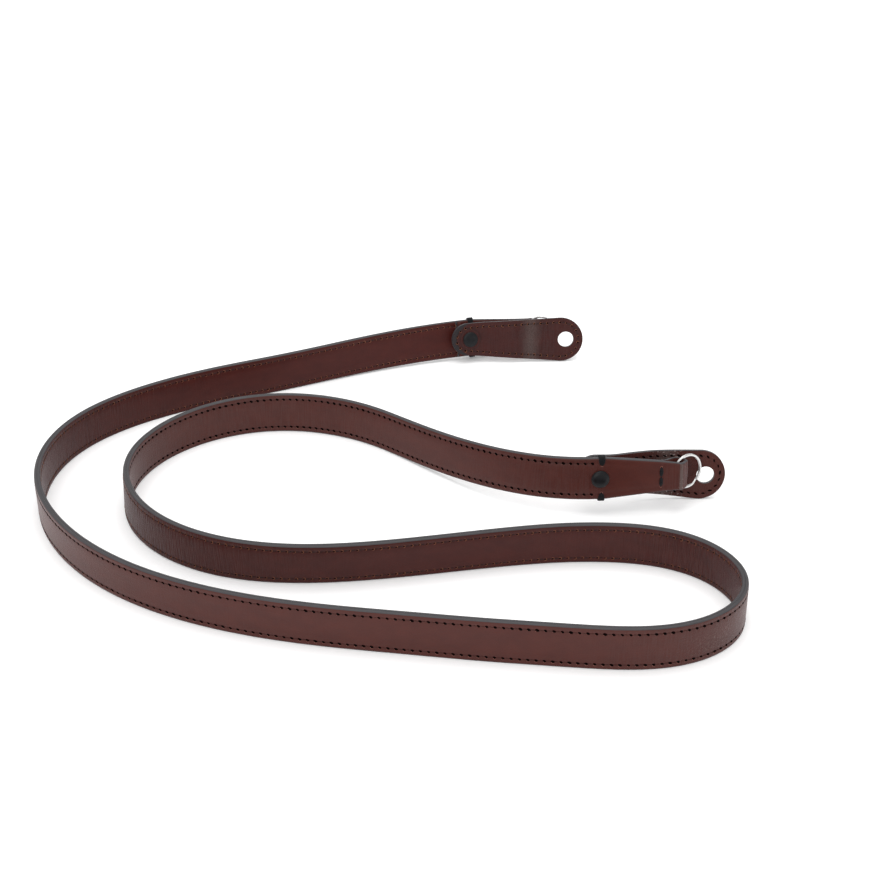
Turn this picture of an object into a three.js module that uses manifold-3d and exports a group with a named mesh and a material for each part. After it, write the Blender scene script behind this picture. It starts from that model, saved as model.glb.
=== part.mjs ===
// Leather camera neck strap, lying on its lower edge in a double loop.
// Two leathers are sewn back to back. Past the snaps the front leather runs on as a narrowing tab,
// folds around a split ring and comes back to meet the end of the back leather at a seam.
// A leather pad hangs from a snap behind each tab and keeps the ring off the camera.
// Millimetres, +Z up. The origin is the middle of the footprint, on the surface it lies on.
import * as THREE from 'three';
import { mergeVertices } from 'three/addons/utils/BufferGeometryUtils.js';
import Module from 'manifold-3d';

const wasm = await Module();
wasm.setup();

// Driving dimensions
const STRAP_LENGTH = 1186; // from snap to snap, along the strap
const STRAP_WIDTH = 19;
const LEATHER = 1.25; // thickness of the front leather and of the back leather
const LAYER_GAP = 0.25; // between two leathers that lie on each other
const EDGE_BEVEL = 0.35;
const FIT_GAP = 0.3; // between pieces that seat on or pass through each other

const FOLD_AT = 34.5; // from the snap to the middle of the fold that holds the ring
const FOLD_CLOSES_AT = 26.5; // from the snap to the cross stitches that close the fold
const FOLD_PROUD = 0.7; // how far the fold stands out of the front face
const TAB_END_WIDTH = 12.4;
const TAPER_FROM = 2; // from the snap to where the tab starts to narrow
const SEAM_INSET = 5; // from the snap, inwards, to where the folded end meets the back leather

const RING_WIRE = 1; // the coil's wire, measured in the ring's plane
const RING_COIL = 0.55; // the same wire, measured across the plane
const RING_COIL_GAP = 0.1; // between the two coils
const RING_EASE = 1.2; // how much wider than the tab's end the ring is inside
const RING_TURN = 28; // degrees from the tab towards the pad
const RING_STEP_TURN = 24; // degrees of turn in which the coil steps over to its second round
const RING_STEP_AT = 55; // degrees from the ring's far side to the middle of that step

const PAD_REACH = 57.5; // from the snap to the pad's wide tip
const PAD_TAIL = 9.6; // from the snap to the pad's narrow tip
const PAD_WIDTH = 22.4;
const PAD_TAIL_WIDTH = 16.6;
const PAD_THICK = 1.8;
const PAD_STANDOFF = 3.4; // the closed snap keeps the pad this far behind the strap
const PAD_RING_GAP = 0.9; // between the ring and the flat end of the pad
const CURL_FROM = 25; // from the snap to where a pad starts to curl
const CURL_RUN = 9; // the length over which it curls
const LUG_HOLE = 8;
const LUG_HOLE_FROM_TIP = 8.7; // from its middle to the pad's wide tip

const CAP_DIAMETER = 7.8;
const CAP_RISE = 1.5;
const BACK_CAP_DIAMETER = 7.8;
const BACK_CAP_RISE = 1;
const POST_DIAMETER = 2.6;
const SOCKET_DIAMETER = 7.4;
const STUD_FLANGE_DIAMETER = 6.8;
const STUD_FLANGE = 0.35;
const STUD_HEAD_DIAMETER = 4;
const STUD_WALL = 0.45;

const LIFT_RUN = 110; // each end of the strap rises over this length to the height of its pad

// The bends of the strap as it lies, from the near snap to the far one.
// at: share of STRAP_LENGTH. heading: degrees, turning from +X to +Y. lean: degrees, the upper edge
// leaning towards the front face where it is positive.
const BENDS = [
  { at: 0.00, heading: -176, lean: -10 },
  { at: 0.03, heading: -207, lean: -10 },
  { at: 0.06, heading: -221, lean: -8 },
  { at: 0.09, heading: -220, lean: -6 },
  { at: 0.12, heading: -198, lean: -5 },
  { at: 0.16, heading: -157, lean: -2 },
  { at: 0.20, heading: -115, lean: 2 },
  { at: 0.24, heading: -67, lean: 3 },
  { at: 0.28, heading: -28, lean: 0 },
  { at: 0.32, heading: 0, lean: -6 },
  { at: 0.37, heading: 11, lean: -6 },
  { at: 0.41, heading: 4, lean: -4 },
  { at: 0.44, heading: -15, lean: -3 },
  { at: 0.47, heading: -63, lean: -2 },
  { at: 0.50, heading: -133, lean: 0 },
  { at: 0.53, heading: -175, lean: 1 },
  { at: 0.58, heading: -187, lean: 1 },
  { at: 0.63, heading: -189.5, lean: 2 },
  { at: 0.68, heading: -203, lean: 2 },
  { at: 0.73, heading: -226.5, lean: 1 },
  { at: 0.77, heading: -251, lean: 0 },
  { at: 0.80, heading: -277, lean: -1 },
  { at: 0.84, heading: -313.5, lean: -1 },
  { at: 0.89, heading: -334.5, lean: 3 },
  { at: 0.94, heading: -334.5, lean: 4 },
  { at: 1.00, heading: -345, lean: 16 },
];

// How the pad bows away behind the tab and ends flat.
// at: share of PAD_REACH from the snap. out: share of the bow at the ring.
const PAD_BOW = [
  { at: -0.20, out: 0 },
  { at: 0.00, out: 0 },
  { at: 0.08, out: 0 },
  { at: 0.28, out: 0.62 },
  { at: 0.42, out: 1.00 },
  { at: 0.56, out: 1.10 },
  { at: 0.66, out: 1.08 },
  { at: 0.74, out: 1.04 },
  { at: 1.00, out: 0.91 },
];

// The two ends. droop: degrees that the pad hangs down, turning on its snap. curl: degrees that the
// pad's wide end bends further away from the tab.
const ENDS = [
  { name: 'near', at: 0, outward: -1, droop: 5, curl: 0 },
  { name: 'far', at: STRAP_LENGTH, outward: 1, droop: 4.6, curl: 14 },
];

// Steps of the lofts and round pieces
const LONGEST_STEP = 9;
const TURN_PER_STEP = 5.5; // degrees
const FOLD_STEPS = 12;
const LEG_STEPS = 5;
const RING_STEPS = 60;
const RING_CORNERS = 6;
const ROUND_SEGMENTS = 20;
const PAD_STEP = 2.2;

// Sizes that follow
const STRAP_THICK = 2 * LEATHER + LAYER_GAP;
const FACE = STRAP_THICK / 2; // from the middle of the strap to its front or back face
const LEG = (LEATHER + LAYER_GAP) / 2; // from there to the middle of one leather
const RING_INNER_R = (TAB_END_WIDTH + RING_EASE) / 2;
const RING_OUTER_R = RING_INNER_R + RING_WIRE;
const RING_DEPTH = 2 * RING_COIL + RING_COIL_GAP;
// The wire bends inside the fold: at the tab's edges it has moved this far towards the ring's middle
const WIRE_SPAN = RING_OUTER_R - Math.sqrt(RING_INNER_R ** 2 - (TAB_END_WIDTH / 2) ** 2);
const FOLD_BORE_R = Math.hypot(WIRE_SPAN / 2, RING_DEPTH / 2) + FIT_GAP;
const FOLD_MIDDLE = FACE + FOLD_PROUD - FOLD_BORE_R - LEATHER; // measured from the strap's middle
const RING_OFFSET = RING_OUTER_R - WIRE_SPAN / 2; // from the fold's middle to the ring's
const PAD_PLANE = -(FACE + PAD_STANDOFF + PAD_THICK / 2); // middle of the pad at the snap
const LUG_HOLE_AT = PAD_REACH - LUG_HOLE_FROM_TIP; // from the snap
const POST_HOLE_R = POST_DIAMETER / 2 + FIT_GAP;

const turn = THREE.MathUtils.degToRad(RING_TURN);
const ringBack = FOLD_MIDDLE - (RING_OFFSET + RING_OUTER_R) * Math.sin(turn) - (RING_DEPTH / 2) * Math.cos(turn);
const PAD_BOW_DEPTH = PAD_PLANE - (ringBack - PAD_RING_GAP - PAD_THICK / 2);

const leatherFront = new THREE.MeshStandardMaterial({ color: 0x4a2620, roughness: 0.5, metalness: 0 });
const leatherBack = new THREE.MeshStandardMaterial({ color: 0x3e1f1b, roughness: 0.6, metalness: 0 });
const steel = new THREE.MeshStandardMaterial({ color: 0xd8d8da, roughness: 0.2, metalness: 1 });
const blackMetal = new THREE.MeshStandardMaterial({ color: 0x1c1d1f, roughness: 0.35, metalness: 0.7 });

// A smooth curve through the rows of a table: value at a share
function smooth(rows, column, share) {
  const last = rows.length - 2;
  let i = 0;
  while (i < last && share > rows[i + 1].at) i += 1;
  const slope = (k) => (rows[k + 1][column] - rows[k][column]) / (rows[k + 1].at - rows[k].at);
  const span = (k) => rows[k + 1].at - rows[k].at;
  const tangent = (k) => {
    if (k === 0) return slope(0);
    if (k === rows.length - 1) return slope(k - 1);
    return (slope(k - 1) * span(k) + slope(k) * span(k - 1)) / (span(k - 1) + span(k));
  };
  const t = (share - rows[i].at) / span(i);
  const a = rows[i][column];
  const b = rows[i + 1][column];
  return (2 * t ** 3 - 3 * t ** 2 + 1) * a + (t ** 3 - 2 * t ** 2 + t) * span(i) * tangent(i)
    + (-2 * t ** 3 + 3 * t ** 2) * b + (t ** 3 - t ** 2) * span(i) * tangent(i + 1);
}

const headingAt = (s) => THREE.MathUtils.degToRad(smooth(BENDS, 'heading', s / STRAP_LENGTH));
const leanAt = (s) => THREE.MathUtils.degToRad(smooth(BENDS, 'lean', s / STRAP_LENGTH));

// Floor plan of the route: a point for each millimetre or so
const PLAN_STEPS = Math.round(STRAP_LENGTH);
const plan = [new THREE.Vector2(0, 0)];
for (let i = 0; i < PLAN_STEPS; i += 1) {
  const angle = headingAt(((i + 0.5) * STRAP_LENGTH) / PLAN_STEPS);
  const step = STRAP_LENGTH / PLAN_STEPS;
  plan.push(new THREE.Vector2(plan[i].x + Math.cos(angle) * step, plan[i].y + Math.sin(angle) * step));
}

// The outline of a pad in its own plane: two arcs and the straight sides between them
function padOutline() {
  const narrow = PAD_TAIL_WIDTH / 2;
  const wide = PAD_WIDTH / 2;
  const narrowAt = narrow - PAD_TAIL;
  const wideAt = PAD_REACH - wide;
  const side = Math.acos((wide - narrow) / (wideAt - narrowAt));
  const shape = new THREE.Shape();
  shape.absarc(wideAt, 0, wide, side - Math.PI, Math.PI - side, false);
  shape.absarc(narrowAt, 0, narrow, Math.PI - side, Math.PI + side, false);
  return shape;
}

// How much an end is raised, so that its pad rests on the floor beside the strap
function liftOf(end) {
  const lean = leanAt(end.at);
  const droop = THREE.MathUtils.degToRad(end.droop);
  let lowest = 0;
  for (const point of padOutline().getPoints(ROUND_SEGMENTS)) {
    const height = point.y * Math.cos(droop) - point.x * Math.sin(droop);
    for (const side of [-1, 1]) {
      const back = padMiddle(point.x, end.curl) + (side * PAD_THICK) / 2;
      lowest = Math.min(lowest, height * Math.cos(lean) - back * Math.sin(lean));
    }
  }
  const middle = (STRAP_WIDTH / 2) * Math.cos(lean) + FACE * Math.abs(Math.sin(lean));
  return Math.max(0, -lowest - middle);
}

// Middle of a pad's thickness in the end's axes: y at an x
function padMiddle(x, curl) {
  const past = Math.max(0, x - CURL_FROM);
  const bent = past < CURL_RUN ? past ** 2 / (2 * CURL_RUN) : past - CURL_RUN / 2;
  const bow = PAD_BOW_DEPTH * smooth(PAD_BOW, 'out', x / PAD_REACH);
  return PAD_PLANE - bow - Math.tan(THREE.MathUtils.degToRad(curl)) * bent;
}

const lifts = ENDS.map(liftOf);

// The strap's frame at a length s: middle point, direction, front normal and the way up the strap
function frameAt(s) {
  const heading = headingAt(s);
  const lean = leanAt(s);
  const k = Math.min(PLAN_STEPS - 1, Math.max(0, Math.floor((s * PLAN_STEPS) / STRAP_LENGTH)));
  const rest = s / STRAP_LENGTH * PLAN_STEPS - k;
  const flat = plan[k].clone().lerp(plan[k + 1], rest);
  const side = new THREE.Vector3(-Math.sin(heading), Math.cos(heading), 0);
  const front = side.clone().multiplyScalar(Math.cos(lean)).add(new THREE.Vector3(0, 0, -Math.sin(lean)));
  const up = side.clone().multiplyScalar(Math.sin(lean)).add(new THREE.Vector3(0, 0, Math.cos(lean)));
  let height = (STRAP_WIDTH / 2) * Math.cos(lean) + FACE * Math.abs(Math.sin(lean));
  ENDS.forEach((end, i) => {
    const near = Math.max(0, 1 - Math.abs(s - end.at) / LIFT_RUN);
    height += lifts[i] * near * near * (3 - 2 * near);
  });
  return { point: new THREE.Vector3(flat.x, flat.y, height), front, up, heading };
}

// Stations between two lengths, closer together where the strap turns
function lengthsBetween(from, to) {
  const lengths = [from];
  let s = from;
  while (s < to) {
    const turning = Math.abs(headingAt(Math.min(to, s + 1)) - headingAt(s));
    const step = Math.min(LONGEST_STEP, THREE.MathUtils.degToRad(TURN_PER_STEP) / Math.max(turning, 1e-6));
    s = to - s < 1.5 * step ? to : s + step;
    lengths.push(s);
  }
  return lengths;
}

// The end's own axes: x outwards along the tab, y out of the front face. The near end is the far one
// turned over, so z is up at the far end and down at the near one.
function endMatrix(end) {
  const frame = frameAt(end.at);
  const x = new THREE.Vector3(Math.cos(frame.heading), Math.sin(frame.heading), 0).multiplyScalar(end.outward);
  const z = frame.up.clone().multiplyScalar(end.outward);
  return new THREE.Matrix4().makeBasis(x, frame.front, z).setPosition(frame.point);
}

function tabWidth(x) {
  const share = THREE.MathUtils.clamp((x - TAPER_FROM) / (FOLD_AT - TAPER_FROM), 0, 1);
  return STRAP_WIDTH + (TAB_END_WIDTH - STRAP_WIDTH) * share;
}

// Middle line of the front leather past a snap, in the end's axes: out along the front leg,
// round the fold and back to the seam. normal points out of the leather's smooth face.
function tabLine() {
  const radius = FOLD_BORE_R + LEATHER / 2;
  const line = [];
  const straight = (from, to, y, ny) => {
    for (let i = 0; i <= LEG_STEPS; i += 1) {
      const x = from + ((to - from) * i) / LEG_STEPS;
      line.push({ x, y, nx: 0, ny });
    }
  };
  const swing = (from, to, yFrom, yTo, ny) => {
    for (let i = 1; i < LEG_STEPS; i += 1) {
      const t = i / LEG_STEPS;
      const y = yFrom + (yTo - yFrom) * t * t * (3 - 2 * t);
      const slope = ((yTo - yFrom) * 6 * t * (1 - t)) / (to - from);
      const size = Math.hypot(1, slope);
      line.push({ x: from + (to - from) * t, y, nx: (-slope / size) * ny, ny: ny / size });
    }
  };
  straight(LONGEST_STEP / 2, FOLD_CLOSES_AT, LEG, 1);
  swing(FOLD_CLOSES_AT, FOLD_AT, LEG, FOLD_MIDDLE + radius, 1);
  for (let i = 0; i <= FOLD_STEPS; i += 1) {
    const angle = Math.PI / 2 - (Math.PI * i) / FOLD_STEPS;
    const nx = Math.cos(angle);
    const ny = Math.sin(angle);
    line.push({ x: FOLD_AT + radius * nx, y: FOLD_MIDDLE + radius * ny, nx, ny });
  }
  swing(FOLD_AT, FOLD_CLOSES_AT, FOLD_MIDDLE - radius, -LEG, -1);
  straight(FOLD_CLOSES_AT, LONGEST_STEP / 2, -LEG, -1);
  line.push({ x: 0, y: -LEG, nx: 0, ny: -1 });
  return line;
}

// One closed strip of leather, lofted through stations of point, out, up and width
function strip(stations) {
  const corners = (width) => {
    const half = width / 2;
    const inner = -LEATHER / 2;
    const outer = LEATHER / 2;
    return [
      [inner, -half], [outer - EDGE_BEVEL, -half], [outer, -half + EDGE_BEVEL],
      [outer, half - EDGE_BEVEL], [outer - EDGE_BEVEL, half], [inner, half],
    ];
  };
  const rings = stations.map(({ point, out, up, width }) => corners(width).map(([o, h]) => (
    point.clone().addScaledVector(out, o).addScaledVector(up, h))));
  return solidFromRings(rings);
}

// A closed solid from a row of rings of points, capped at both ends
function solidFromRings(rings) {
  const count = rings[0].length;
  const position = rings.flat().flatMap((p) => [p.x, p.y, p.z]);
  const index = [];
  for (let r = 0; r < rings.length - 1; r += 1) {
    for (let i = 0; i < count; i += 1) {
      const a = r * count + i;
      const b = r * count + ((i + 1) % count);
      index.push(a, b, a + count, b, b + count, a + count);
    }
  }
  const end = (rings.length - 1) * count;
  for (let i = 1; i < count - 1; i += 1) {
    index.push(0, i + 1, i);
    index.push(end, end + i, end + i + 1);
  }
  const geometry = new THREE.BufferGeometry();
  geometry.setAttribute('position', new THREE.Float32BufferAttribute(position, 3));
  geometry.setIndex(index);
  return outward(geometry);
}

// Turns the faces to point out
function outward(geometry) {
  const p = geometry.attributes.position;
  const index = geometry.index.array;
  const corner = (k) => new THREE.Vector3().fromBufferAttribute(p, index[k]);
  let volume = 0;
  for (let i = 0; i < index.length; i += 3) volume += corner(i).dot(corner(i + 1).cross(corner(i + 2)));
  if (volume < 0) {
    for (let i = 0; i < index.length; i += 3) {
      [index[i + 1], index[i + 2]] = [index[i + 2], index[i + 1]];
    }
  }
  return geometry;
}

function toManifold(geometry, matrix = new THREE.Matrix4()) {
  const bare = geometry.clone().applyMatrix4(matrix);
  bare.deleteAttribute('normal');
  bare.deleteAttribute('uv');
  const merged = outward(mergeVertices(bare, 1e-4));
  return new wasm.Manifold(new wasm.Mesh({
    numProp: 3,
    vertProperties: new Float32Array(merged.attributes.position.array),
    triVerts: new Uint32Array(merged.index.array),
  }));
}

function fromManifold(solid) {
  const mesh = solid.getMesh();
  const geometry = new THREE.BufferGeometry();
  geometry.setAttribute('position', new THREE.BufferAttribute(mesh.vertProperties.slice(), 3));
  geometry.setIndex(new THREE.BufferAttribute(mesh.triVerts.slice(), 1));
  geometry.computeVertexNormals();
  return geometry;
}

// A drill through a piece along y
function drill(radius, x, y) {
  const reach = 4 * (FACE + PAD_STANDOFF);
  return new THREE.CylinderGeometry(radius, radius, reach, ROUND_SEGMENTS).translate(x, y, 0);
}

// The front leather: near fold, whole strap and far fold in one strip, drilled for the snaps' posts
function frontLeather() {
  const tab = (end) => {
    const matrix = endMatrix(end);
    const seam = frameAt(end.at - end.outward * SEAM_INSET);
    const stations = tabLine().map(({ x, y, nx, ny }) => ({
      point: new THREE.Vector3(x, y, 0).applyMatrix4(matrix),
      out: new THREE.Vector3(nx, ny, 0).transformDirection(matrix),
      up: frameAt(end.at).up,
      width: tabWidth(x),
    }));
    stations.push({
      point: seam.point.addScaledVector(seam.front, -LEG),
      out: seam.front.clone().negate(),
      up: seam.up,
      width: STRAP_WIDTH,
    });
    return stations;
  };
  const run = lengthsBetween(0, STRAP_LENGTH).map((s) => {
    const { point, front, up } = frameAt(s);
    return { point: point.addScaledVector(front, LEG), out: front, up, width: STRAP_WIDTH };
  });
  let solid = toManifold(strip([...tab(ENDS[0]).reverse(), ...run, ...tab(ENDS[1])]));
  for (const end of ENDS) {
    const hole = drill(POST_HOLE_R, 0, 0);
    solid = solid.subtract(toManifold(hole, endMatrix(end)));
  }
  return fromManifold(solid);
}

function backLeather() {
  const inset = SEAM_INSET + FIT_GAP;
  return strip(lengthsBetween(inset, STRAP_LENGTH - inset).map((s) => {
    const { point, front, up } = frameAt(s);
    return { point: point.addScaledVector(front, -LEG), out: front.clone().negate(), up, width: STRAP_WIDTH };
  }));
}

// A split ring: the wire goes round twice and steps over between the two rounds.
// It lies in the x and z plane, with x pointing to the side away from the tab.
function splitRing() {
  const middle = (RING_INNER_R + RING_OUTER_R) / 2;
  const wire = RING_WIRE / 2;
  const coil = RING_COIL / 2;
  const shift = (RING_COIL + RING_COIL_GAP) / 2;
  const step = THREE.MathUtils.degToRad(RING_STEP_TURN);
  const stepAt = THREE.MathUtils.degToRad(RING_STEP_AT);
  const whole = 2 * Math.PI;
  const first = step / 2;
  const last = 2 * whole - step / 2;
  const rings = [];
  for (let i = 0; i <= RING_STEPS; i += 1) {
    const angle = first + ((last - first) * i) / RING_STEPS;
    const over = THREE.MathUtils.smoothstep(angle, whole - step / 2, whole + step / 2);
    const y = shift * (2 * over - 1);
    const ring = [];
    for (let k = 0; k < RING_CORNERS; k += 1) {
      const a = (2 * Math.PI * (k + 0.5)) / RING_CORNERS;
      const r = middle + wire * Math.cos(a);
      const around = angle + stepAt;
      ring.push(new THREE.Vector3(r * Math.cos(around), y + coil * Math.sin(a), r * Math.sin(around)));
    }
    rings.push(ring);
  }
  return solidFromRings(rings);
}

// A pad: a bowed strip cut to its outline and drilled for the snap and for the camera's lug
function pad(curl) {
  const middle = (x) => padMiddle(x, curl);
  const wide = PAD_WIDTH / 2 + 1;
  const from = PAD_BOW[0].at * PAD_REACH;
  const steps = Math.round((PAD_REACH - from) / PAD_STEP);
  const rings = [];
  for (let i = 0; i <= steps; i += 1) {
    const x = from + ((PAD_REACH - from) * i) / steps;
    const slope = (middle(x + 0.01) - middle(x - 0.01)) / 0.02;
    const size = Math.hypot(1, slope);
    const half = PAD_THICK / 2;
    const at = (side, z) => new THREE.Vector3(x - (side * half * slope) / size, middle(x) + (side * half) / size, z);
    rings.push([at(-1, -wide), at(1, -wide), at(1, wide), at(-1, wide)]);
  }
  const depth = PAD_THICK - 2 * middle(PAD_REACH);
  const block = new THREE.ExtrudeGeometry(padOutline(), { depth, bevelEnabled: false, curveSegments: ROUND_SEGMENTS });
  block.rotateX(Math.PI / 2);
  const solid = toManifold(solidFromRings(rings))
    .intersect(toManifold(block))
    .subtract(toManifold(drill(POST_HOLE_R, 0, PAD_PLANE)))
    .subtract(toManifold(drill(LUG_HOLE / 2, LUG_HOLE_AT, middle(LUG_HOLE_AT))));
  return fromManifold(solid);
}

function lathe(profile) {
  const points = profile.map(([r, y]) => new THREE.Vector2(r, y));
  const geometry = new THREE.LatheGeometry(points, ROUND_SEGMENTS);
  return fromManifold(toManifold(geometry));
}

// A domed cap with its post: the disc's face is at y = base, and the post reaches to y = tip.
// side is 1 where the dome points to +y and -1 where it points to -y.
function cap(diameter, rise, base, tip, side) {
  const r = diameter / 2;
  const rim = 0.3 * rise;
  return lathe([
    [0, base + side * rise],
    [0.45 * r, base + side * 0.93 * rise],
    [0.8 * r, base + side * 0.7 * rise],
    [r, base + side * rim],
    [r, base],
    [POST_DIAMETER / 2, base],
    [POST_DIAMETER / 2, tip],
    [0, tip],
  ]);
}

// Places along y of the snap's four pieces
const socketFront = -FACE - FIT_GAP;
const studBack = -FACE - PAD_STANDOFF + FIT_GAP;
const studFront = studBack + STUD_FLANGE;
const socketBack = studFront + FIT_GAP / 2;
const capTip = (socketFront + socketBack) / 2 + FIT_GAP;
const studTip = capTip - 2 * FIT_GAP;
const backCapTip = studTip - STUD_WALL - FIT_GAP;

function socket() {
  const r = SOCKET_DIAMETER / 2;
  const bore = STUD_HEAD_DIAMETER / 2 + FIT_GAP / 2;
  return lathe([
    [POST_HOLE_R, socketFront],
    [r, socketFront],
    [r, socketBack],
    [bore, socketBack],
    [bore, studTip + FIT_GAP],
    [POST_HOLE_R, studTip + FIT_GAP],
    [POST_HOLE_R, socketFront],
  ]);
}

function stud() {
  const head = STUD_HEAD_DIAMETER / 2;
  return lathe([
    [0, studTip],
    [head, studTip],
    [head, studFront],
    [STUD_FLANGE_DIAMETER / 2, studFront],
    [STUD_FLANGE_DIAMETER / 2, studBack],
    [POST_HOLE_R, studBack],
    [POST_HOLE_R, backCapTip + FIT_GAP],
    [0, backCapTip + FIT_GAP],
  ]);
}

const part = new THREE.Group();

function add(parent, name, geometry, material) {
  const mesh = new THREE.Mesh(geometry, material);
  mesh.name = name;
  parent.add(mesh);
  return mesh;
}

const strap = new THREE.Group();
add(strap, 'front_leather', frontLeather(), leatherFront);
add(strap, 'back_leather', backLeather(), leatherBack);

for (const end of ENDS) {
  const fittings = new THREE.Group();
  fittings.applyMatrix4(endMatrix(end));
  const capBase = FACE + FIT_GAP;
  add(fittings, `snap_cap_${end.name}`, cap(CAP_DIAMETER, CAP_RISE, capBase, capTip, 1), blackMetal);
  add(fittings, `snap_socket_${end.name}`, socket(), blackMetal);

  const ring = add(fittings, `split_ring_${end.name}`, splitRing(), steel);
  ring.rotation.z = -turn;
  ring.position.set(FOLD_AT + RING_OFFSET * Math.cos(turn), FOLD_MIDDLE - RING_OFFSET * Math.sin(turn), 0);

  const hanging = new THREE.Group();
  hanging.rotation.y = THREE.MathUtils.degToRad(end.droop) * end.outward;
  add(hanging, `lug_pad_${end.name}`, pad(end.curl), leatherBack);
  add(hanging, `snap_stud_${end.name}`, stud(), blackMetal);
  const backBase = PAD_PLANE - PAD_THICK / 2 - FIT_GAP;
  add(hanging, `snap_back_${end.name}`, cap(BACK_CAP_DIAMETER, BACK_CAP_RISE, backBase, backCapTip, -1), blackMetal);
  fittings.add(hanging);
  strap.add(fittings);
}

// The origin goes to the middle of the footprint
strap.updateMatrixWorld(true);
const box = new THREE.Box3().setFromObject(strap, true);
const middle = box.getCenter(new THREE.Vector3());
strap.position.set(-middle.x, -middle.y, -box.min.z);
part.add(strap);

export default part;
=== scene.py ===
# %% [markdown]
# A leather neck strap, seen as it lies on a table: on its lower edge, in a double loop.
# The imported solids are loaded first. Every piece below is made in the same frame, so each one
# goes exactly where its solid is, and the solids it stands for are hidden.

# %% Load the solids
from functools import partial
from math import acos, cos, degrees, exp, hypot, pi, radians, sin, sqrt, tan
import bpy
import bmesh
from mathutils import Matrix, Vector


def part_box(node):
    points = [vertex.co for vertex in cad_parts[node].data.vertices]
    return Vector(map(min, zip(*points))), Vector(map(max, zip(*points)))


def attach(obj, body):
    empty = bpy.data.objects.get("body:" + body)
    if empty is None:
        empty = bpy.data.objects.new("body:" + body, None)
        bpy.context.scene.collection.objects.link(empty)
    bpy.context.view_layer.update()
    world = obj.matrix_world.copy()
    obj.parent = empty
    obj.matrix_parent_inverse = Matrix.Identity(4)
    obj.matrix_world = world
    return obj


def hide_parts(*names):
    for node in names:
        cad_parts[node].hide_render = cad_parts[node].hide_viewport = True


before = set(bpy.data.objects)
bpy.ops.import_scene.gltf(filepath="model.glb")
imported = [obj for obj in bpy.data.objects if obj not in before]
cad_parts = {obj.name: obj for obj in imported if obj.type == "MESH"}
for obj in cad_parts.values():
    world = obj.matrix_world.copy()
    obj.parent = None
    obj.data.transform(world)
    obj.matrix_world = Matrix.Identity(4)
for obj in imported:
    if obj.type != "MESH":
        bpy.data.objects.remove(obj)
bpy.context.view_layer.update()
scene = bpy.context.scene
print("solids:", sorted(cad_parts))

# %% [markdown]
# The strap is two leathers sewn back to back. Past each snap the front leather runs on as a tab,
# folds around a split ring and comes back to the seam. Behind each tab hangs a pad.
# All sizes are in millimetres. They are the sizes of the solids, so nothing has to be fitted.

# %% Sizes of the strap
MM = 0.001
STRAP_LENGTH = 1186
STRAP_WIDTH = 19
LEATHER = 1.25
LAYER_GAP = 0.25
FACE = LEATHER + LAYER_GAP / 2  # from the middle of the strap to a face
LEG = (LEATHER + LAYER_GAP) / 2  # from there to the middle of one leather
FOLD_AT = 34.5
FOLD_CLOSES_AT = 26.5
FOLD_PROUD = 0.7
TAB_END_WIDTH = 12.4
TAPER_FROM = 2
SEAM_INSET = 5
FIT_GAP = 0.3

# %% Sizes of the ring, the pad and the snap
RING_WIRE = 1
RING_COIL = 0.55
RING_COIL_GAP = 0.1
RING_TURN = radians(28)
RING_STEP_TURN = radians(24)
RING_STEP_AT = radians(55)
RING_EASE = 1.2
RING_INNER_R = (TAB_END_WIDTH + RING_EASE) / 2
RING_OUTER_R = RING_INNER_R + RING_WIRE
PAD_REACH = 57.5
PAD_TAIL = 9.6
PAD_WIDTH = 22.4
PAD_TAIL_WIDTH = 16.6
PAD_THICK = 1.8
PAD_STANDOFF = 3.4
PAD_RING_GAP = 0.9
CURL_FROM = 25
CURL_RUN = 9
LUG_HOLE_R = 4
LUG_HOLE_FROM_TIP = 8.7
LUG_HOLE_AT = PAD_REACH - LUG_HOLE_FROM_TIP
CAP_R = 3.9
CAP_RISE = 1.5
BACK_CAP_R = 3.9
BACK_CAP_RISE = 1
POST_R = 1.3
STUD_FLANGE = 0.35
STUD_WALL = 0.45
LIFT_RUN = 110

# %% Sizes that follow from those
WIRE_SPAN = RING_OUTER_R - sqrt(RING_INNER_R ** 2 - (TAB_END_WIDTH / 2) ** 2)
RING_DEPTH = 2 * RING_COIL + RING_COIL_GAP
FOLD_BORE_R = hypot(WIRE_SPAN / 2, RING_DEPTH / 2) + FIT_GAP
FOLD_MIDDLE = FACE + FOLD_PROUD - FOLD_BORE_R - LEATHER
RING_OFFSET = RING_OUTER_R - WIRE_SPAN / 2
PAD_PLANE = -(FACE + PAD_STANDOFF + PAD_THICK / 2)
RING_BACK = FOLD_MIDDLE - (RING_OFFSET + RING_OUTER_R) * sin(RING_TURN) - RING_DEPTH / 2 * cos(RING_TURN)
PAD_BOW_DEPTH = PAD_PLANE - (RING_BACK - PAD_RING_GAP - PAD_THICK / 2)
print("fold bore", round(FOLD_BORE_R, 2), "pad bow", round(PAD_BOW_DEPTH, 2))

# %% [markdown]
# A stiff strap on its edge bends only sideways, and leans a little where it bends. So its whole
# shape is two curves against its length: which way it heads, and how far it leans. Each row holds
# a share of the length, the heading and the lean in degrees. The pad's bow is a table of the same kind.

# %% The bends of the strap and the bow of a pad
BENDS = [
    (0.00, -176, -10), (0.03, -207, -10), (0.06, -221, -8), (0.09, -220, -6), (0.12, -198, -5),
    (0.16, -157, -2), (0.20, -115, 2), (0.24, -67, 3), (0.28, -28, 0), (0.32, 0, -6),
    (0.37, 11, -6), (0.41, 4, -4), (0.44, -15, -3), (0.47, -63, -2), (0.50, -133, 0),
    (0.53, -175, 1), (0.58, -187, 1), (0.63, -189.5, 2), (0.68, -203, 2), (0.73, -226.5, 1),
    (0.77, -251, 0), (0.80, -277, -1), (0.84, -313.5, -1), (0.89, -334.5, 3), (0.94, -334.5, 4),
    (1.00, -345, 16),
]
PAD_BOW = [
    (-0.20, 0), (0.00, 0), (0.08, 0), (0.28, 0.62), (0.42, 1.00),
    (0.56, 1.10), (0.66, 1.08), (0.74, 1.04), (1.00, 0.91),
]
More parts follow.
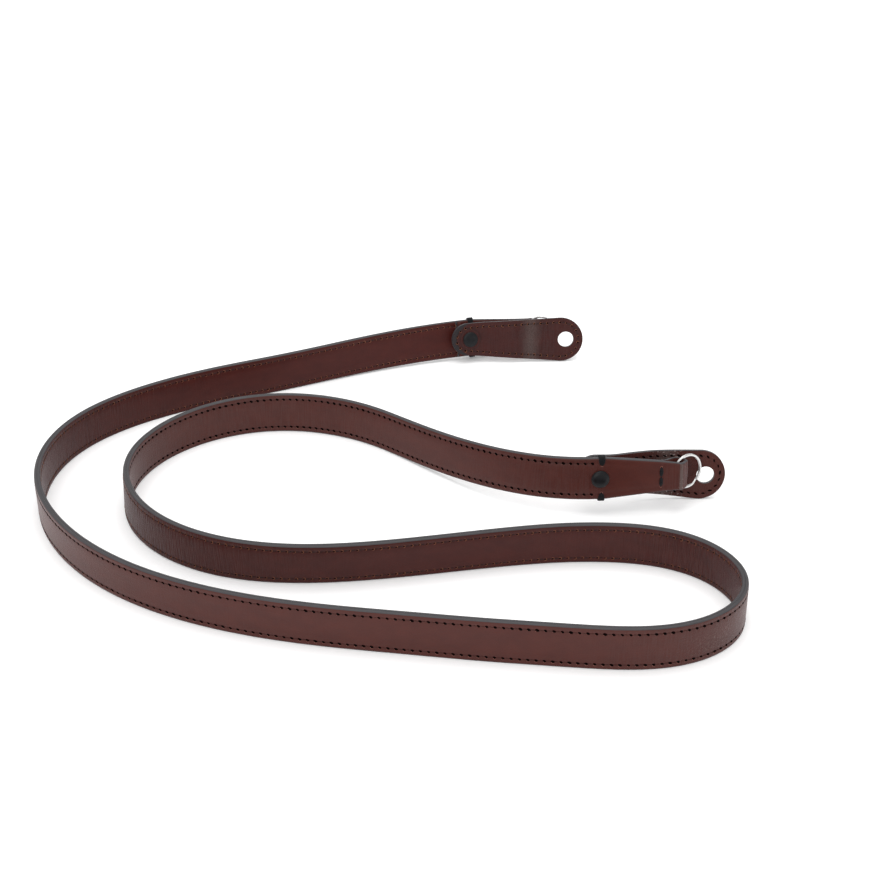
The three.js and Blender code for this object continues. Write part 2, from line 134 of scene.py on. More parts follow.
ENDS = {
    "near": {"at": 0, "outward": -1, "droop": 5, "curl": 0, "bars_at": 0.6},
    "far": {"at": STRAP_LENGTH, "outward": 1, "droop": 4.6, "curl": 14, "bars_at": 2},
}


def smooth(rows, column, share):
    """A smooth curve through the rows of a table: the value at a share."""
    i = 0
    while i < len(rows) - 2 and share > rows[i + 1][0]:
        i += 1

    def span(k):
        return rows[k + 1][0] - rows[k][0]

    def slope(k):
        return (rows[k + 1][column] - rows[k][column]) / span(k)

    def tangent(k):
        if k == 0:
            return slope(0)
        if k == len(rows) - 1:
            return slope(k - 1)
        return (slope(k - 1) * span(k) + slope(k) * span(k - 1)) / (span(k - 1) + span(k))

    t = (share - rows[i][0]) / span(i)
    bulge = (t ** 3 - 2 * t ** 2 + t) * span(i) * tangent(i)
    bulge += (t ** 3 - t ** 2) * span(i) * tangent(i + 1)
    from_here = (1 - 3 * t ** 2 + 2 * t ** 3) * rows[i][column]
    to_next = (3 * t ** 2 - 2 * t ** 3) * rows[i + 1][column]
    return from_here + to_next + bulge


def heading_at(s):
    return radians(smooth(BENDS, 1, s / STRAP_LENGTH))


def lean_at(s):
    return radians(smooth(BENDS, 2, s / STRAP_LENGTH))


plan = [(0.0, 0.0)]
for i in range(STRAP_LENGTH):
    angle = heading_at(i + 0.5)
    plan.append((plan[i][0] + cos(angle), plan[i][1] + sin(angle)))
print("the route ends at", [round(v, 1) for v in plan[-1]])

# %% [markdown]
# A pad is a long rounded outline, flat in its own plane, which then bows away from the tab.
# Its droop decides how high the strap's end is held, so the outline comes before the route's heights.

# %% The pad's outline and bow, and the strap's frame at any length
def pad_outline(inset=0, steps=40):
    """Points round a pad in its own plane, that far in from its edge."""
    wide = PAD_WIDTH / 2
    narrow = PAD_TAIL_WIDTH / 2
    wide_at = PAD_REACH - wide
    narrow_at = narrow - PAD_TAIL
    side = acos((wide - narrow) / (wide_at - narrow_at))
    arcs = ((wide_at, wide, side - pi, pi - side), (narrow_at, narrow, pi - side, pi + side))
    points = []
    for at, radius, start, end in arcs:
        for i in range(steps + 1):
            angle = start + (end - start) * i / steps
            points.append((at + (radius - inset) * cos(angle), (radius - inset) * sin(angle)))
    return points


def pad_middle(x, curl):
    """Middle of a pad's thickness. The far pad's wide end curls further away from the tab."""
    past = max(0, x - CURL_FROM)
    bent = past ** 2 / (2 * CURL_RUN) if past < CURL_RUN else past - CURL_RUN / 2
    return PAD_PLANE - PAD_BOW_DEPTH * smooth(PAD_BOW, 1, x / PAD_REACH) - tan(radians(curl)) * bent


def lift_of(end):
    """How far an end has to rise for its pad to clear the surface."""
    lean = lean_at(end["at"])
    droop = radians(end["droop"])
    lowest = 0
    for x, z in pad_outline():
        height = z * cos(droop) - x * sin(droop)
        for half in (-PAD_THICK / 2, PAD_THICK / 2):
            lowest = min(lowest, height * cos(lean) - (pad_middle(x, end["curl"]) + half) * sin(lean))
    return max(0, -lowest - STRAP_WIDTH / 2 * cos(lean) - FACE * abs(sin(lean)))


lifts = {name: lift_of(end) for name, end in ENDS.items()}
shift = Vector((0, 0, 0))


def frame_at(s):
    """Middle point, direction, front normal and the way up the strap."""
    heading = heading_at(s)
    lean = lean_at(s)
    k = min(STRAP_LENGTH - 1, max(0, int(s // 1)))
    rest = s - k
    across = Vector((-sin(heading), cos(heading), 0))
    front = across * cos(lean) - Vector((0, 0, sin(lean)))
    up = across * sin(lean) + Vector((0, 0, cos(lean)))
    height = STRAP_WIDTH / 2 * cos(lean) + FACE * abs(sin(lean))
    for name, end in ENDS.items():
        near = max(0, 1 - abs(s - end["at"]) / LIFT_RUN)
        height += lifts[name] * near * near * (3 - 2 * near)
    x = plan[k][0] + (plan[k + 1][0] - plan[k][0]) * rest
    y = plan[k][1] + (plan[k + 1][1] - plan[k][1]) * rest
    return Vector((x, y, height)) + shift, Vector((cos(heading), sin(heading), 0)), front, up


# %% Put the route on the solids
low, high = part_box("snap_socket_near")
socket_middle = (low + high) / 2 / MM
point, along, front, up = frame_at(0)
SOCKET_FRONT = -FACE - FIT_GAP
SOCKET_BACK = -FACE - PAD_STANDOFF + FIT_GAP + STUD_FLANGE + FIT_GAP / 2
shift = socket_middle - front * (SOCKET_FRONT + SOCKET_BACK) / 2 - point
print("near snap at", frame_at(0)[0], "lift left over", round(shift.z, 3))


def end_axes(end):
    """The end's own axes: x out along the tab, y out of the front face."""
    point, along, front, up = frame_at(end["at"])
    axes = Matrix((along * end["outward"], front, up * end["outward"])).transposed().to_4x4()
    axes.translation = point
    return axes


def hanging_axes(end):
    """The same axes with the droop of the end's pad."""
    return end_axes(end) @ Matrix.Rotation(radians(end["droop"]) * end["outward"], 4, "Y")


# %% [markdown]
# The photograph looks down on the strap from about thirty degrees, from just over half a metre away.
# The floor is plain and pale. Light comes from everywhere, a little more from above,
# so that the leather shows soft pale reflections where it turns and no hard shadow.

# %% Camera and light
PHOTO_PIXELS = 870
FOCAL_PIXELS = 1500
SENSOR = 36
LOOK_DOWN = radians(29.4)
CAMERA_FROM_SNAP = (-70.9, -553.4)  # across the floor, from the near snap
CAMERA_UP = 350
camera = bpy.data.objects.new("camera", bpy.data.cameras.new("camera"))
camera.data.sensor_width = SENSOR
camera.data.lens = SENSOR * FOCAL_PIXELS / PHOTO_PIXELS
near_snap = frame_at(0)[0]
camera.location = [(near_snap[i] + CAMERA_FROM_SNAP[i]) * MM for i in (0, 1)] + [CAMERA_UP * MM]
camera.rotation_euler = (pi / 2 - LOOK_DOWN, 0, 0)
scene.collection.objects.link(camera)
scene.camera = camera
scene.view_settings.view_transform = "Standard"

world = bpy.data.worlds.new("studio")
world.use_nodes = True
background = world.node_tree.nodes["Background"]
background.inputs["Color"].default_value = (1, 1, 1, 1)
background.inputs["Strength"].default_value = 0.95
scene.world = world


def soft_light(name, place, aim, size, power):
    lamp = bpy.data.lights.new(name, "AREA")
    lamp.shape = "DISK"
    lamp.size = size
    lamp.energy = power
    light = bpy.data.objects.new(name, lamp)
    light.location = place
    light.rotation_euler = (Vector(aim) - Vector(place)).to_track_quat("-Z", "Y").to_euler()
    scene.collection.objects.link(light)


soft_light("top_light", (0, 0.1, 1.2), (0, 0, 0), 1.1, 7)
soft_light("front_light", (-0.5, -1.3, 0.8), (0, 0, 0), 0.8, 4)


# %% [markdown]
# Materials and repeated pieces are both made of nodes. Two small helpers add a node, set it up and
# join its inputs: one where a tree begins, and one for each later step, which finds its tree through
# its inputs. So each recipe below reads as a list of steps.

# %% Helpers for nodes
def source(tree, kind, inputs=None, output=0, **settings):
    """Adds a node and gives one of its outputs. An input is a value, or another node's output."""
    made = tree.nodes.new(kind)
    for key, value in settings.items():
        setattr(made, key, value)
    for key, value in (inputs or {}).items():
        if isinstance(value, bpy.types.NodeSocket):
            tree.links.new(value, made.inputs[key])
        else:
            made.inputs[key].default_value = value
    return made.outputs[output]


def node(kind, inputs, output=0, **settings):
    """The same, in the tree that its inputs come from."""
    tree = next(value.id_data for value in inputs.values() if isinstance(value, bpy.types.NodeSocket))
    return source(tree, kind, inputs, output, **settings)


def math(operation, *values):
    return node("ShaderNodeMath", dict(enumerate(values)), operation=operation)


times, plus, minus = [partial(math, operation) for operation in ("MULTIPLY", "ADD", "SUBTRACT")]


def between(value, low, high, new_low=0.0, new_high=1.0):
    inputs = {"Value": value, "From Min": low, "From Max": high, "To Min": new_low, "To Max": new_high}
    return node("ShaderNodeMapRange", inputs)


def vector(x=0.0, y=0.0, z=0.0):
    return node("ShaderNodeCombineXYZ", {0: x, 1: y, 2: z})


def vector_parts(value):
    return node("ShaderNodeSeparateXYZ", {0: value}).node.outputs


def vector_math(operation, *values, output="Vector"):
    return node("ShaderNodeVectorMath", dict(enumerate(values)), output, operation=operation)


def mix(factor, first, second):
    """Mixes two colours."""
    return node("ShaderNodeMix", {0: factor, 6: first, 7: second}, output=2, data_type="RGBA")


def noise(place, scale, detail=3.0, stretch=(1, 1, 1)):
    """Noise on a place, stretched by scaling the place."""
    placed = node("ShaderNodeMapping", {"Vector": place, "Scale": stretch})
    return node("ShaderNodeTexNoise", {"Vector": placed, "Scale": scale, "Detail": detail})


# %% Helpers for materials
def new_material(name, roughness, shine=0.5, metallic=0.0):
    """A material, its tree and its shader. shine is the specular level."""
    material = bpy.data.materials.new(name)
    material.use_nodes = True
    shader = material.node_tree.nodes["Principled BSDF"]
    shader.inputs["Roughness"].default_value = roughness
    shader.inputs["Specular IOR Level"].default_value = shine
    shader.inputs["Metallic"].default_value = metallic
    return material, material.node_tree, shader


def on_object(tree):
    return source(tree, "ShaderNodeTexCoord", output="Object")


def on_leather(tree):
    return source(tree, "ShaderNodeUVMap", uv_map="leather_map")


def paint(shader, colour, rough, height, millimetres):
    """Gives the shader its colour, its roughness and bumps that are so many millimetres high."""
    bumps = node("ShaderNodeBump", {"Height": height, "Distance": millimetres * MM})
    for key, value in (("Base Color", colour), ("Roughness", rough), ("Normal", bumps)):
        shader.id_data.links.new(value, shader.inputs[key])


# %% [markdown]
# The floor is staged: it isn't part of the strap.

# %% Floor
FLOOR_REACH = 4.0
floor_material, tree, shader = new_material("pale_floor", 0.9, 0.0)
tone = between(noise(on_object(tree), 3), 0.3, 0.7, 0.94, 0.97)
grey = node("ShaderNodeCombineColor", {0: tone, 1: tone, 2: tone})
tree.links.new(grey, shader.inputs["Base Color"])
shader.inputs["Emission Color"].default_value = (1, 1, 1, 1)
shader.inputs["Emission Strength"].default_value = 0.12
floor_mesh = bpy.data.meshes.new("floor")
corners = [(x * FLOOR_REACH, y * FLOOR_REACH, 0) for x, y in ((-1, -1), (1, -1), (1, 1), (-1, 1))]
floor_mesh.from_pydata(corners, [], [(0, 1, 2, 3)])
floor = bpy.data.objects.new("floor", floor_mesh)
floor_mesh.materials.append(floor_material)
scene.collection.objects.link(floor)


# %% [markdown]
# The leather is smooth, deep red-brown and lightly waxed. Close to, it has fine pores and a soft
# uneven tone, and it creases across where it is bent. Its pattern follows the strip through the
# piece's own map in millimetres: u runs along the leather and v across it and round its edge.
# The creases are noise stretched across the strip, and an attribute says how much it is bent there.
# Where it bends, its creases are painted a little paler, and where it bends sharply it is painted
# pale with small pale spots: painted sheen and painted glints, which stand in for the light it catches.

# %% Tones and places of the leather
FRONT_DEEP = (0.049, 0.0078, 0.0048, 1)
FRONT_WARM = (0.072, 0.0125, 0.0073, 1)
BACK_DEEP = (0.040, 0.0060, 0.0045, 1)
BACK_WARM = (0.065, 0.0105, 0.0070, 1)
# The pad's back has the back leather's tones darkened by about a quarter: painted shade, as less light
# reaches it.
SHADED_PAD_DEEP = (0.031, 0.0044, 0.0035, 1)
SHADED_PAD_WARM = (0.052, 0.0078, 0.0054, 1)
# A pale painted sheen for sharp bends, standing in for the light they catch.
BEND_SHEEN_TONE = (0.10, 0.070, 0.064, 1)
# Pale painted glints for sharp bends.
GLINT_TONE = (0.40, 0.33, 0.31, 1)
DENT_TONE = (0.012, 0.004, 0.004, 1)
TAIL_TONE = (0.018, 0.016, 0.018, 1)
PAD_FRONT_V = 40  # where the middle of each side of a pad lies across its map
PAD_BACK_V = -20
PAD_EDGE_V = 90
TAIL_MIDDLE = (PAD_TAIL_WIDTH / 2 - PAD_TAIL, 0, 0)  # from the snap
DENT_R = 5.5
# Painted glints show only past this v.
GLINTS_FROM = 8  # v past which the map lies on a strip's outer face or on a pad's front


# %% Leather
def pad_marks(place, colour):
    """The round dent that a snap presses into a pad's back, and the painted rim of its round tail."""
    from_snap = vector_math("SUBTRACT", place, (0, PAD_BACK_V, 0))
    far_out = vector_math("LENGTH", from_snap, output="Value")
    dent = between(math("ABSOLUTE", minus(far_out, DENT_R)), 0.0, 0.7, 1.0, 0.0)
    colour = mix(times(dent, 0.45), colour, DENT_TONE)
    from_tail = vector_math("SUBTRACT", from_snap, TAIL_MIDDLE)
    out_of_tail = vector_math("LENGTH", from_tail, output="Value")
    rim = between(vector_parts(from_tail)[0], 1.0, -4.0, 0.0, 2.3)
    margin = minus(out_of_tail, minus(PAD_TAIL_WIDTH / 2, rim))
    painted = times(between(margin, 0.0, 0.3, 0.0, 0.93), between(rim, 0.0, 0.1))
    return mix(painted, colour, TAIL_TONE), dent


def leather(name, deep, warm, roughness, shine, creases, crinkle=0.0, bend_sheen=0.0, glint=0.0, on_pad=False):
    """creases and crinkle are heights. The number after crinkle is how pale the painted sheen on a
    sharp bend is, and glint how bright the painted glints there are. A pad has the front leather's
    tones in front, and its marks behind, where its own tones are darker as painted shade."""
    material, tree, shader = new_material(name, roughness, shine)
    for key, value in (("Weight", 0.06), ("Roughness", 0.35), ("Tint", (0.86, 0.82, 0.9, 1))):
        shader.inputs["Sheen " + key].default_value = value
    place = on_leather(tree)
    across = vector_parts(place)[1]
    bent = source(tree, "ShaderNodeAttribute", output="Fac", attribute_name="bend")
    mottle = noise(place, 0.11, 4, (1, 1.6, 1))
    grain = noise(place, 2.4, 5)
    pores = node("ShaderNodeTexVoronoi", {"Vector": place, "Scale": 2.6})
    fold_lines = noise(place, 1.0, 4, (1.7, 0.10, 1))
    wrinkles = noise(place, 0.75, 6, (1.5, 1, 1))

    patches = between(mottle, 0.32, 0.68, 0.2, 0.8)
    colour = mix(patches, deep, warm)
    if on_pad:
        colour = mix(between(across, 0, 10), colour, mix(patches, FRONT_DEEP, FRONT_WARM))
    colour = mix(between(grain, 0.35, 0.7, 0.0, 0.5), colour, deep)
    crease = times(between(fold_lines, 0.38, 0.62), bent)
    # The creases are real bumps. Their paler colour is a painted sheen, where the creases catch the light.
    pale = tuple(0.6 * w + 0.035 for w in warm[:3]) + (1,)
    colour = mix(times(crease, 0.4), colour, pale)
    # Sharp bends are painted pale: a painted sheen where the leather turns towards the light.
    rubs_and_sheen = times(between(bent, 0.7, 0.95, 0.0, bend_sheen), between(wrinkles, 0.25, 0.5, 0.5))
    colour = mix(rubs_and_sheen, colour, BEND_SHEEN_TONE)
    # Small pale painted glints on sharp bends, on a strip's outer face or a pad's front only.
    painted_glints = between(noise(place, 1.1, 3), 0.58, 0.66, 0.0, glint)
    painted_glints = times(painted_glints, between(bent, 0.5, 0.8))
    painted_glints = times(painted_glints, between(across, GLINTS_FROM - 1, GLINTS_FROM))
    colour = mix(painted_glints, colour, GLINT_TONE)

    ridge = math("ABSOLUTE", minus(wrinkles, 0.5))
    crinkled = times(between(ridge, 0.0, 0.12), bent)
    height = times(pores, 0.25)
    for part, high in ((grain, 0.35), (crease, creases), (mottle, 0.6), (crinkled, crinkle)):
        height = plus(height, times(part, high))
    if on_pad:
        colour, dent = pad_marks(place, colour)
        height = minus(height, times(dent, 2.5))
    rough = between(grain, 0.3, 0.7, roughness - 0.06, roughness + 0.08)
    paint(shader, colour, plus(rough, times(crease, 0.06)), height, 0.1)
    return material


front_look = {"roughness": 0.38, "shine": 0.27, "creases": 0.6, "crinkle": 0.8, "bend_sheen": 0.8, "glint": 0.3}
back_look = {"roughness": 0.38, "shine": 0.18, "creases": 3.4}
pad_look = {"roughness": 0.34, "shine": 0.20, "creases": 0.6, "crinkle": 3.0, "bend_sheen": 0.6, "glint": 0.8}
front_finish = leather("leather_front", FRONT_DEEP, FRONT_WARM, **front_look)
back_finish = leather("leather_back", BACK_DEEP, BACK_WARM, **back_look)
pad_finish = leather("leather_pad", SHADED_PAD_DEEP, SHADED_PAD_WARM, on_pad=True, **pad_look)
print("leathers:", front_finish.name, back_finish.name, pad_finish.name)

# %% [markdown]
# The cut edges are sealed with dark grey edge paint. It is put on in coats along the edge, so it
# shows fine lines that run lengthwise, and a dull, slightly uneven shine.

# %% Edge paint
edge_finish, tree, shader = new_material("edge_paint", 0.5, 0.4)
place = on_leather(tree)
coats = noise(place, 1.0, 4, (0.12, 4.0, 1))
specks = noise(place, 3.0, 3)
tone = mix(between(coats, 0.3, 0.7), (0.017, 0.0165, 0.019, 1), (0.047, 0.046, 0.052, 1))
tone = mix(between(specks, 0.5, 0.7, 0, 0.6), tone, (0.075, 0.045, 0.036, 1))
paint(shader, tone, between(coats, 0.3, 0.7, 0.45, 0.6), plus(coats, times(specks, 0.4)), 0.06)


# %% [markdown]
# Three kinds of thread are used: dark browns that nearly sink into the leather, a light brown whose
# loops show on the back, and a thick black one for the bars at the ends. The near-black of a hole,
# which is painted shade, and the pale of the leather pressed up round it, which is a painted
# highlight, are made by the same recipe.

# %% Threads and holes
def thread(name, dark, light, roughness=0.7, shine=0.25):
    material, tree, shader = new_material(name, roughness, shine)
    twist = noise(on_object(tree), 2600, 3)
    colour = mix(between(twist, 0.35, 0.65), dark, light)
    rough = between(twist, 0.3, 0.7, roughness - 0.12, roughness + 0.1)
    paint(shader, colour, rough, twist, 0.05)
    return material


sunk_thread = thread("sunk_thread", (0.030, 0.008, 0.006, 1), (0.062, 0.018, 0.013, 1))
dark_thread = thread("dark_thread", (0.012, 0.006, 0.005, 1), (0.035, 0.014, 0.012, 1))
brown_thread = thread("brown_thread", (0.085, 0.028, 0.015, 1), (0.25, 0.093, 0.045, 1))
black_thread = thread("black_thread", (0.004, 0.004, 0.005, 1), (0.013, 0.013, 0.015, 1), 0.5, 0.15)
# Near-black for the inside of a hole: painted shade.
hole_shade = thread("painted_hole_shade", (0.002, 0.001, 0.001, 1), (0.004, 0.002, 0.002, 1), 0.9, 0.0)
# A pale leather tone for the lip round a hole: a painted highlight, where the raised leather catches the
# light.
lip_highlight = thread("lip_highlight", (0.15, 0.046, 0.032, 1), (0.28, 0.10, 0.07, 1), 0.35, 0.5)

# %% [markdown]
# The snaps are satin black, rubbed a little shinier in places. The rings are polished steel with
# fine scratches. Both patterns sit on the object's position, because metal has no grain to follow.

# %% Metals
snap_finish, tree, shader = new_material("snap_black", 0.36, 0.2)
rubs_and_sheen = noise(on_object(tree), 420, 4)
fine = noise(on_object(tree), 5200, 2)
tone = mix(between(rubs_and_sheen, 0.4, 0.7), (0.004, 0.004, 0.005, 1), (0.009, 0.0095, 0.011, 1))
paint(shader, tone, between(rubs_and_sheen, 0.35, 0.7, 0.32, 0.42), fine, 0.012)

ring_finish, tree, shader = new_material("ring_steel", 0.16, metallic=1.0)
scratches = noise(on_object(tree), 900, 5, (1, 4, 9))
tone = mix(between(scratches, 0.3, 0.7), (0.50, 0.50, 0.51, 1), (0.74, 0.73, 0.71, 1))
paint(shader, tone, between(scratches, 0.3, 0.75, 0.14, 0.30), scratches, 0.01)


# %% [markdown]
# Every long piece here is a loft: the same outline, set at many stations and joined into one closed
# skin. This gives a clean mesh with a map that runs along the leather. It is simpler and more exact
# for a flat strip than a cloth simulation, which would have to be held in place anyway.

# %% Helpers that make meshes
def to_object(name, mesh, *materials):
    made = bpy.data.objects.new(name, mesh)
    scene.collection.objects.link(made)
    for material in materials:
        mesh.materials.append(material)
    return made


def evaluated(made):
    """What an object's modifiers make of it, as a plain mesh."""
    return bpy.data.meshes.new_from_object(made.evaluated_get(bpy.context.evaluated_depsgraph_get()))


def smooth_skin(mesh):
    """Shades a closed mesh smoothly and turns its faces outward."""
    mesh.shade_smooth()
    work = bmesh.new()
    work.from_mesh(mesh)
    bmesh.ops.recalc_face_normals(work, faces=work.faces)
    if work.calc_volume(signed=True) < 0:
        bmesh.ops.reverse_faces(work, faces=work.faces)
    work.to_mesh(mesh)
    work.free()


def loft(name, rings, maps, bends, painted, materials, painted_ends=False):
    """A closed skin through rings of points in millimetres. maps holds a (u, v) for each point of a
    ring and one more to close it, bends a number for each ring, and painted says which sides of the
    outline are edge paint. With painted_ends the first and the last stretch are painted all round."""
    count = len(rings[0])
    faces = []
    corners = []
    kinds = []
    for r in range(len(rings) - 1):
        here, there = maps[r], maps[r + 1]
        at_end = painted_ends and r in (0, len(rings) - 2)
        for i in range(count):
            a = r * count + i
            b = r * count + (i + 1) % count
            faces.append((a, b, b + count, a + count))
            corners += [here[i], here[i + 1], there[i + 1], there[i]]
            kinds.append(1 if painted[i] or at_end else 0)
    order = list(range(count))
    last = (len(rings) - 1) * count
    for first, turn, row in ((0, order[::-1], maps[0]), (last, order, maps[-1])):
        faces.append([first + i for i in turn])
        corners += [row[i] for i in turn]
        kinds.append(1 if any(painted) else 0)
    mesh = bpy.data.meshes.new(name)
    mesh.from_pydata([p * MM for ring in rings for p in ring], [], faces)
    layer = mesh.uv_layers.new(name="leather_map")
    for k, corner in enumerate(corners):
        layer.data[k].uv = corner
    bend = mesh.attributes.new("bend", "FLOAT", "POINT")
    bend.data.foreach_set("value", [b for b in bends for _ in range(count)])
    mesh.polygons.foreach_set("material_index", kinds)
    smooth_skin(mesh)
    return to_object(name, mesh, *materials)


# %% [markdown]
# The outline of one leather: a flat inner face, rounded painted edges and a slightly crowned outer
# face that sinks along each row of stitches, where the thread pulls it in.

# %% Outline of a leather strip
ROW_INSET = 2.45  # from the strap's edge to a row of stitches
ROW_SINK = 0.13
GROOVE_REACH = 0.35  # how far a row's groove spreads to each side
EDGE_ROUND = 0.7
EDGE_SIDES = 5  # sides of the outline, from each end of it, that are painted
CROWN = 0.07
INNER = -(LEATHER + LAYER_GAP) / 2 + 0.015
OUTER = LEATHER / 2


def strip_outline(half, sewn):
    """(out, across) points round the outline, from the middle of the inner face and back to it."""
    sink = ROW_SINK * sewn
    row_at = half - ROW_INSET
    face = [
        (half - EDGE_ROUND, 0), (half - 1.25, 0.02),
        (row_at + GROOVE_REACH, -0.3 * sink), (row_at, -sink), (row_at - GROOVE_REACH, -0.3 * sink),
        (half - 3.1, 0.4 * CROWN), (half * 0.42, CROWN),
    ]
    edge = [(INNER, half - 0.12), (INNER + 0.05, half - 0.03), (INNER + 0.16, half)]
    edge.append((OUTER - EDGE_ROUND, half))
    for angle in (radians(30), radians(60)):
        out = OUTER - EDGE_ROUND + EDGE_ROUND * sin(angle)
        edge.append((out, half - EDGE_ROUND + EDGE_ROUND * cos(angle)))
    side = edge + [(OUTER + d, h) for h, d in face]
    return side + [(OUTER + CROWN, 0)] + [(o, -h) for o, h in reversed(side)]


def strip(name, stations, materials, painted_ends=False):
    """One leather. A station holds its middle point, the ways out and up, its width, its place on
    the map, how much it is bent and how much its stitches pull it in."""
    rings = []
    maps = []
    for point, out, up, width, u, bend, sewn in stations:
        outline = strip_outline(width / 2, sewn)
        rings.append([point + out * o + up * h for o, h in outline])
        v = 0.0
        row = [(u, 0.0)]
        closed = outline + outline[:1]
        for (o0, h0), (o1, h1) in zip(closed, closed[1:]):
            v += hypot(o1 - o0, h1 - h0)
            row.append((u, v))
        maps.append(row)
    sides = len(rings[0])
    painted = [i < EDGE_SIDES or sides - 1 - EDGE_SIDES <= i < sides - 1 for i in range(sides)]
    return loft(name, rings, maps, [s[5] for s in stations], painted, materials, painted_ends)


# %% Stations along the strap
TURN_FULL = 2  # degrees for each millimetre that count as fully bent
TURN_MOST = 0.68  # the most that the strap itself counts as bent. Only a fold gets past it
STATION_STEP = 4.0
STATION_TURN = 1.6


def bend_at(s):
    """How sharply the strap turns, from 0 to TURN_MOST."""
    s = min(max(s, 1), STRAP_LENGTH - 1)
    return min(TURN_MOST, abs(degrees(heading_at(s + 1) - heading_at(s - 1))) / 2 / TURN_FULL)


def lengths_between(start, end):
    """Stations, closer together where the strap turns."""
    lengths = [start]
    while lengths[-1] < end:
        s = lengths[-1]
        turning = abs(degrees(heading_at(min(end, s + 1)) - heading_at(s)))
        step = min(STATION_STEP, STATION_TURN / max(turning, 1e-6))
        lengths.append(end if end - s < 1.5 * step else s + step)
    return lengths


# %% [markdown]
# The line of the front leather past a snap: out along the tab, round the fold and back to the seam.
# It is the solid's own line with more points, so that the fold is round. A hard fold isn't quite
# round, so it is drawn out to a ridge and pressed flat past it. Each place is in degrees round the
# fold, from straight out along the tab towards the front.

# %% The tab and its fold
RIDGE_AT = 84
RIDGE_SPREAD = 20
RIDGE_RISE = 0.15
FLAT_AT = 40
FLAT_SPREAD = 22
FLAT_SINK = 0.10
FOLD_STEPS = 36


def swing(x0, x1, y0, y1, ny, steps=12):
    """Points of a soft step from one straight line to another."""
    points = []
    for i in range(1, steps):
        t = i / steps
        slope = (y1 - y0) * 6 * t * (1 - t) / (x1 - x0)
        size = hypot(1, slope)
        y = y0 + (y1 - y0) * t * t * (3 - 2 * t)
        points.append((x0 + (x1 - x0) * t, y, -slope / size * ny, ny / size, 0.4))
    return points


def pinched(angle, radius):
    """A point of the fold, and how much of it is ridge."""
    ridge = exp(-((degrees(angle) - RIDGE_AT) / RIDGE_SPREAD) ** 2)
    flat = exp(-((degrees(angle) - FLAT_AT) / FLAT_SPREAD) ** 2)
    out = radius * (1 + RIDGE_RISE * ridge - FLAT_SINK * flat)
    return FOLD_AT + out * cos(angle), FOLD_MIDDLE + out * sin(angle), ridge


def tab_line():
    """(x, y, nx, ny, bend): the leather's middle line and normal in the end's own axes."""
    radius = FOLD_BORE_R + LEATHER / 2
    straight = (3, 8, 14, 20, FOLD_CLOSES_AT - 0.5)
    line = [(x, LEG, 0, 1, 0) for x in straight]
    line += swing(FOLD_CLOSES_AT, FOLD_AT, LEG, FOLD_MIDDLE + radius, 1)
    for i in range(FOLD_STEPS + 1):
        angle = pi / 2 - pi * i / FOLD_STEPS
        x, y, ridge = pinched(angle, radius)
        before_x, before_y, _ = pinched(angle + 0.01, radius)
        after_x, after_y, _ = pinched(angle - 0.01, radius)
        size = hypot(after_x - before_x, after_y - before_y)
        normal = ((before_y - after_y) / size, (after_x - before_x) / size)
        line.append((x, y, *normal, 0.3 + 0.7 * ridge ** 2))
    line += swing(FOLD_AT, FOLD_CLOSES_AT, FOLD_MIDDLE - radius, -LEG, -1)
    return line + [(x, -LEG, 0, -1, 0) for x in (*reversed(straight), 0)]


def tab_width(x):
    share = min(1, max(0, (x - TAPER_FROM) / (FOLD_AT - TAPER_FROM)))
    return STRAP_WIDTH + (TAB_END_WIDTH - STRAP_WIDTH) * share


def tab_stations(end):
    axes = end_axes(end)
    up = frame_at(end["at"])[3]
    stations = []
    u = end["at"]
    before = None
    for x, y, nx, ny, bend in tab_line():
        u += end["outward"] * (hypot(x - before[0], y - before[1]) if before else x)
        before = (x, y)
        out = axes.to_3x3() @ Vector((nx, ny, 0))
        stations.append((axes @ Vector((x, y, 0)), out, up, tab_width(x), u, bend, 0))
    for back in (SEAM_INSET / 2, SEAM_INSET):
        point, along, front, up = frame_at(end["at"] - end["outward"] * back)
        stations.append((point - front * LEG, -front, up, STRAP_WIDTH, u + end["outward"] * back, 0, 0))
    return stations


# %% Both leathers
SEWN_FROM = 3.5  # from a snap to the first stitch
BACK_FROM = SEAM_INSET + 0.12
SKIVED_FROM = BACK_FROM + 1.1  # the back leather's end is painted up to here, where it meets the fold's end


def run_stations(lengths, side, sewn_from):
    """Stations of the strap itself, of its front where side is 1 and of its back where it is -1."""
    stations = []
    for s in lengths:
        point, along, front, up = frame_at(s)
        sewn = min(1, max(0, (min(s, STRAP_LENGTH - s) - sewn_from) / 2))
        stations.append((point + front * side * LEG, front * side, up, STRAP_WIDTH, s, bend_at(s), sewn))
    return stations


near_tab, far_tab = [tab_stations(end) for end in ENDS.values()]
run = run_stations(lengths_between(0, STRAP_LENGTH), 1, SEWN_FROM - 1)
front_leather = strip("strap_front", near_tab[::-1] + run + far_tab, [front_finish, edge_finish])
lengths = [BACK_FROM, *lengths_between(SKIVED_FROM, STRAP_LENGTH - SKIVED_FROM), STRAP_LENGTH - BACK_FROM]
back_leather = strip("strap_back", run_stations(lengths, -1, 0), [back_finish, edge_finish], True)
for made in (front_leather, back_leather):
    print(made.name, len(made.data.polygons), "faces")

# %% [markdown]
# A pad is cut flat first: its outline and the lug hole are filled, sliced across every millimetre,
# given a thickness and rounded edges by modifiers, and then each point is moved onto the bow.
# That is how the real one is made too: cut flat, sewn, and bent later.

# %% The pads
PAD_SLICE = 1.0
PAD_ROUND = 0.4
HOLE_SIDES = 40
CREASE_AT = 31  # where a pad is crinkled most, and how far to each side
CREASE_REACH = 13


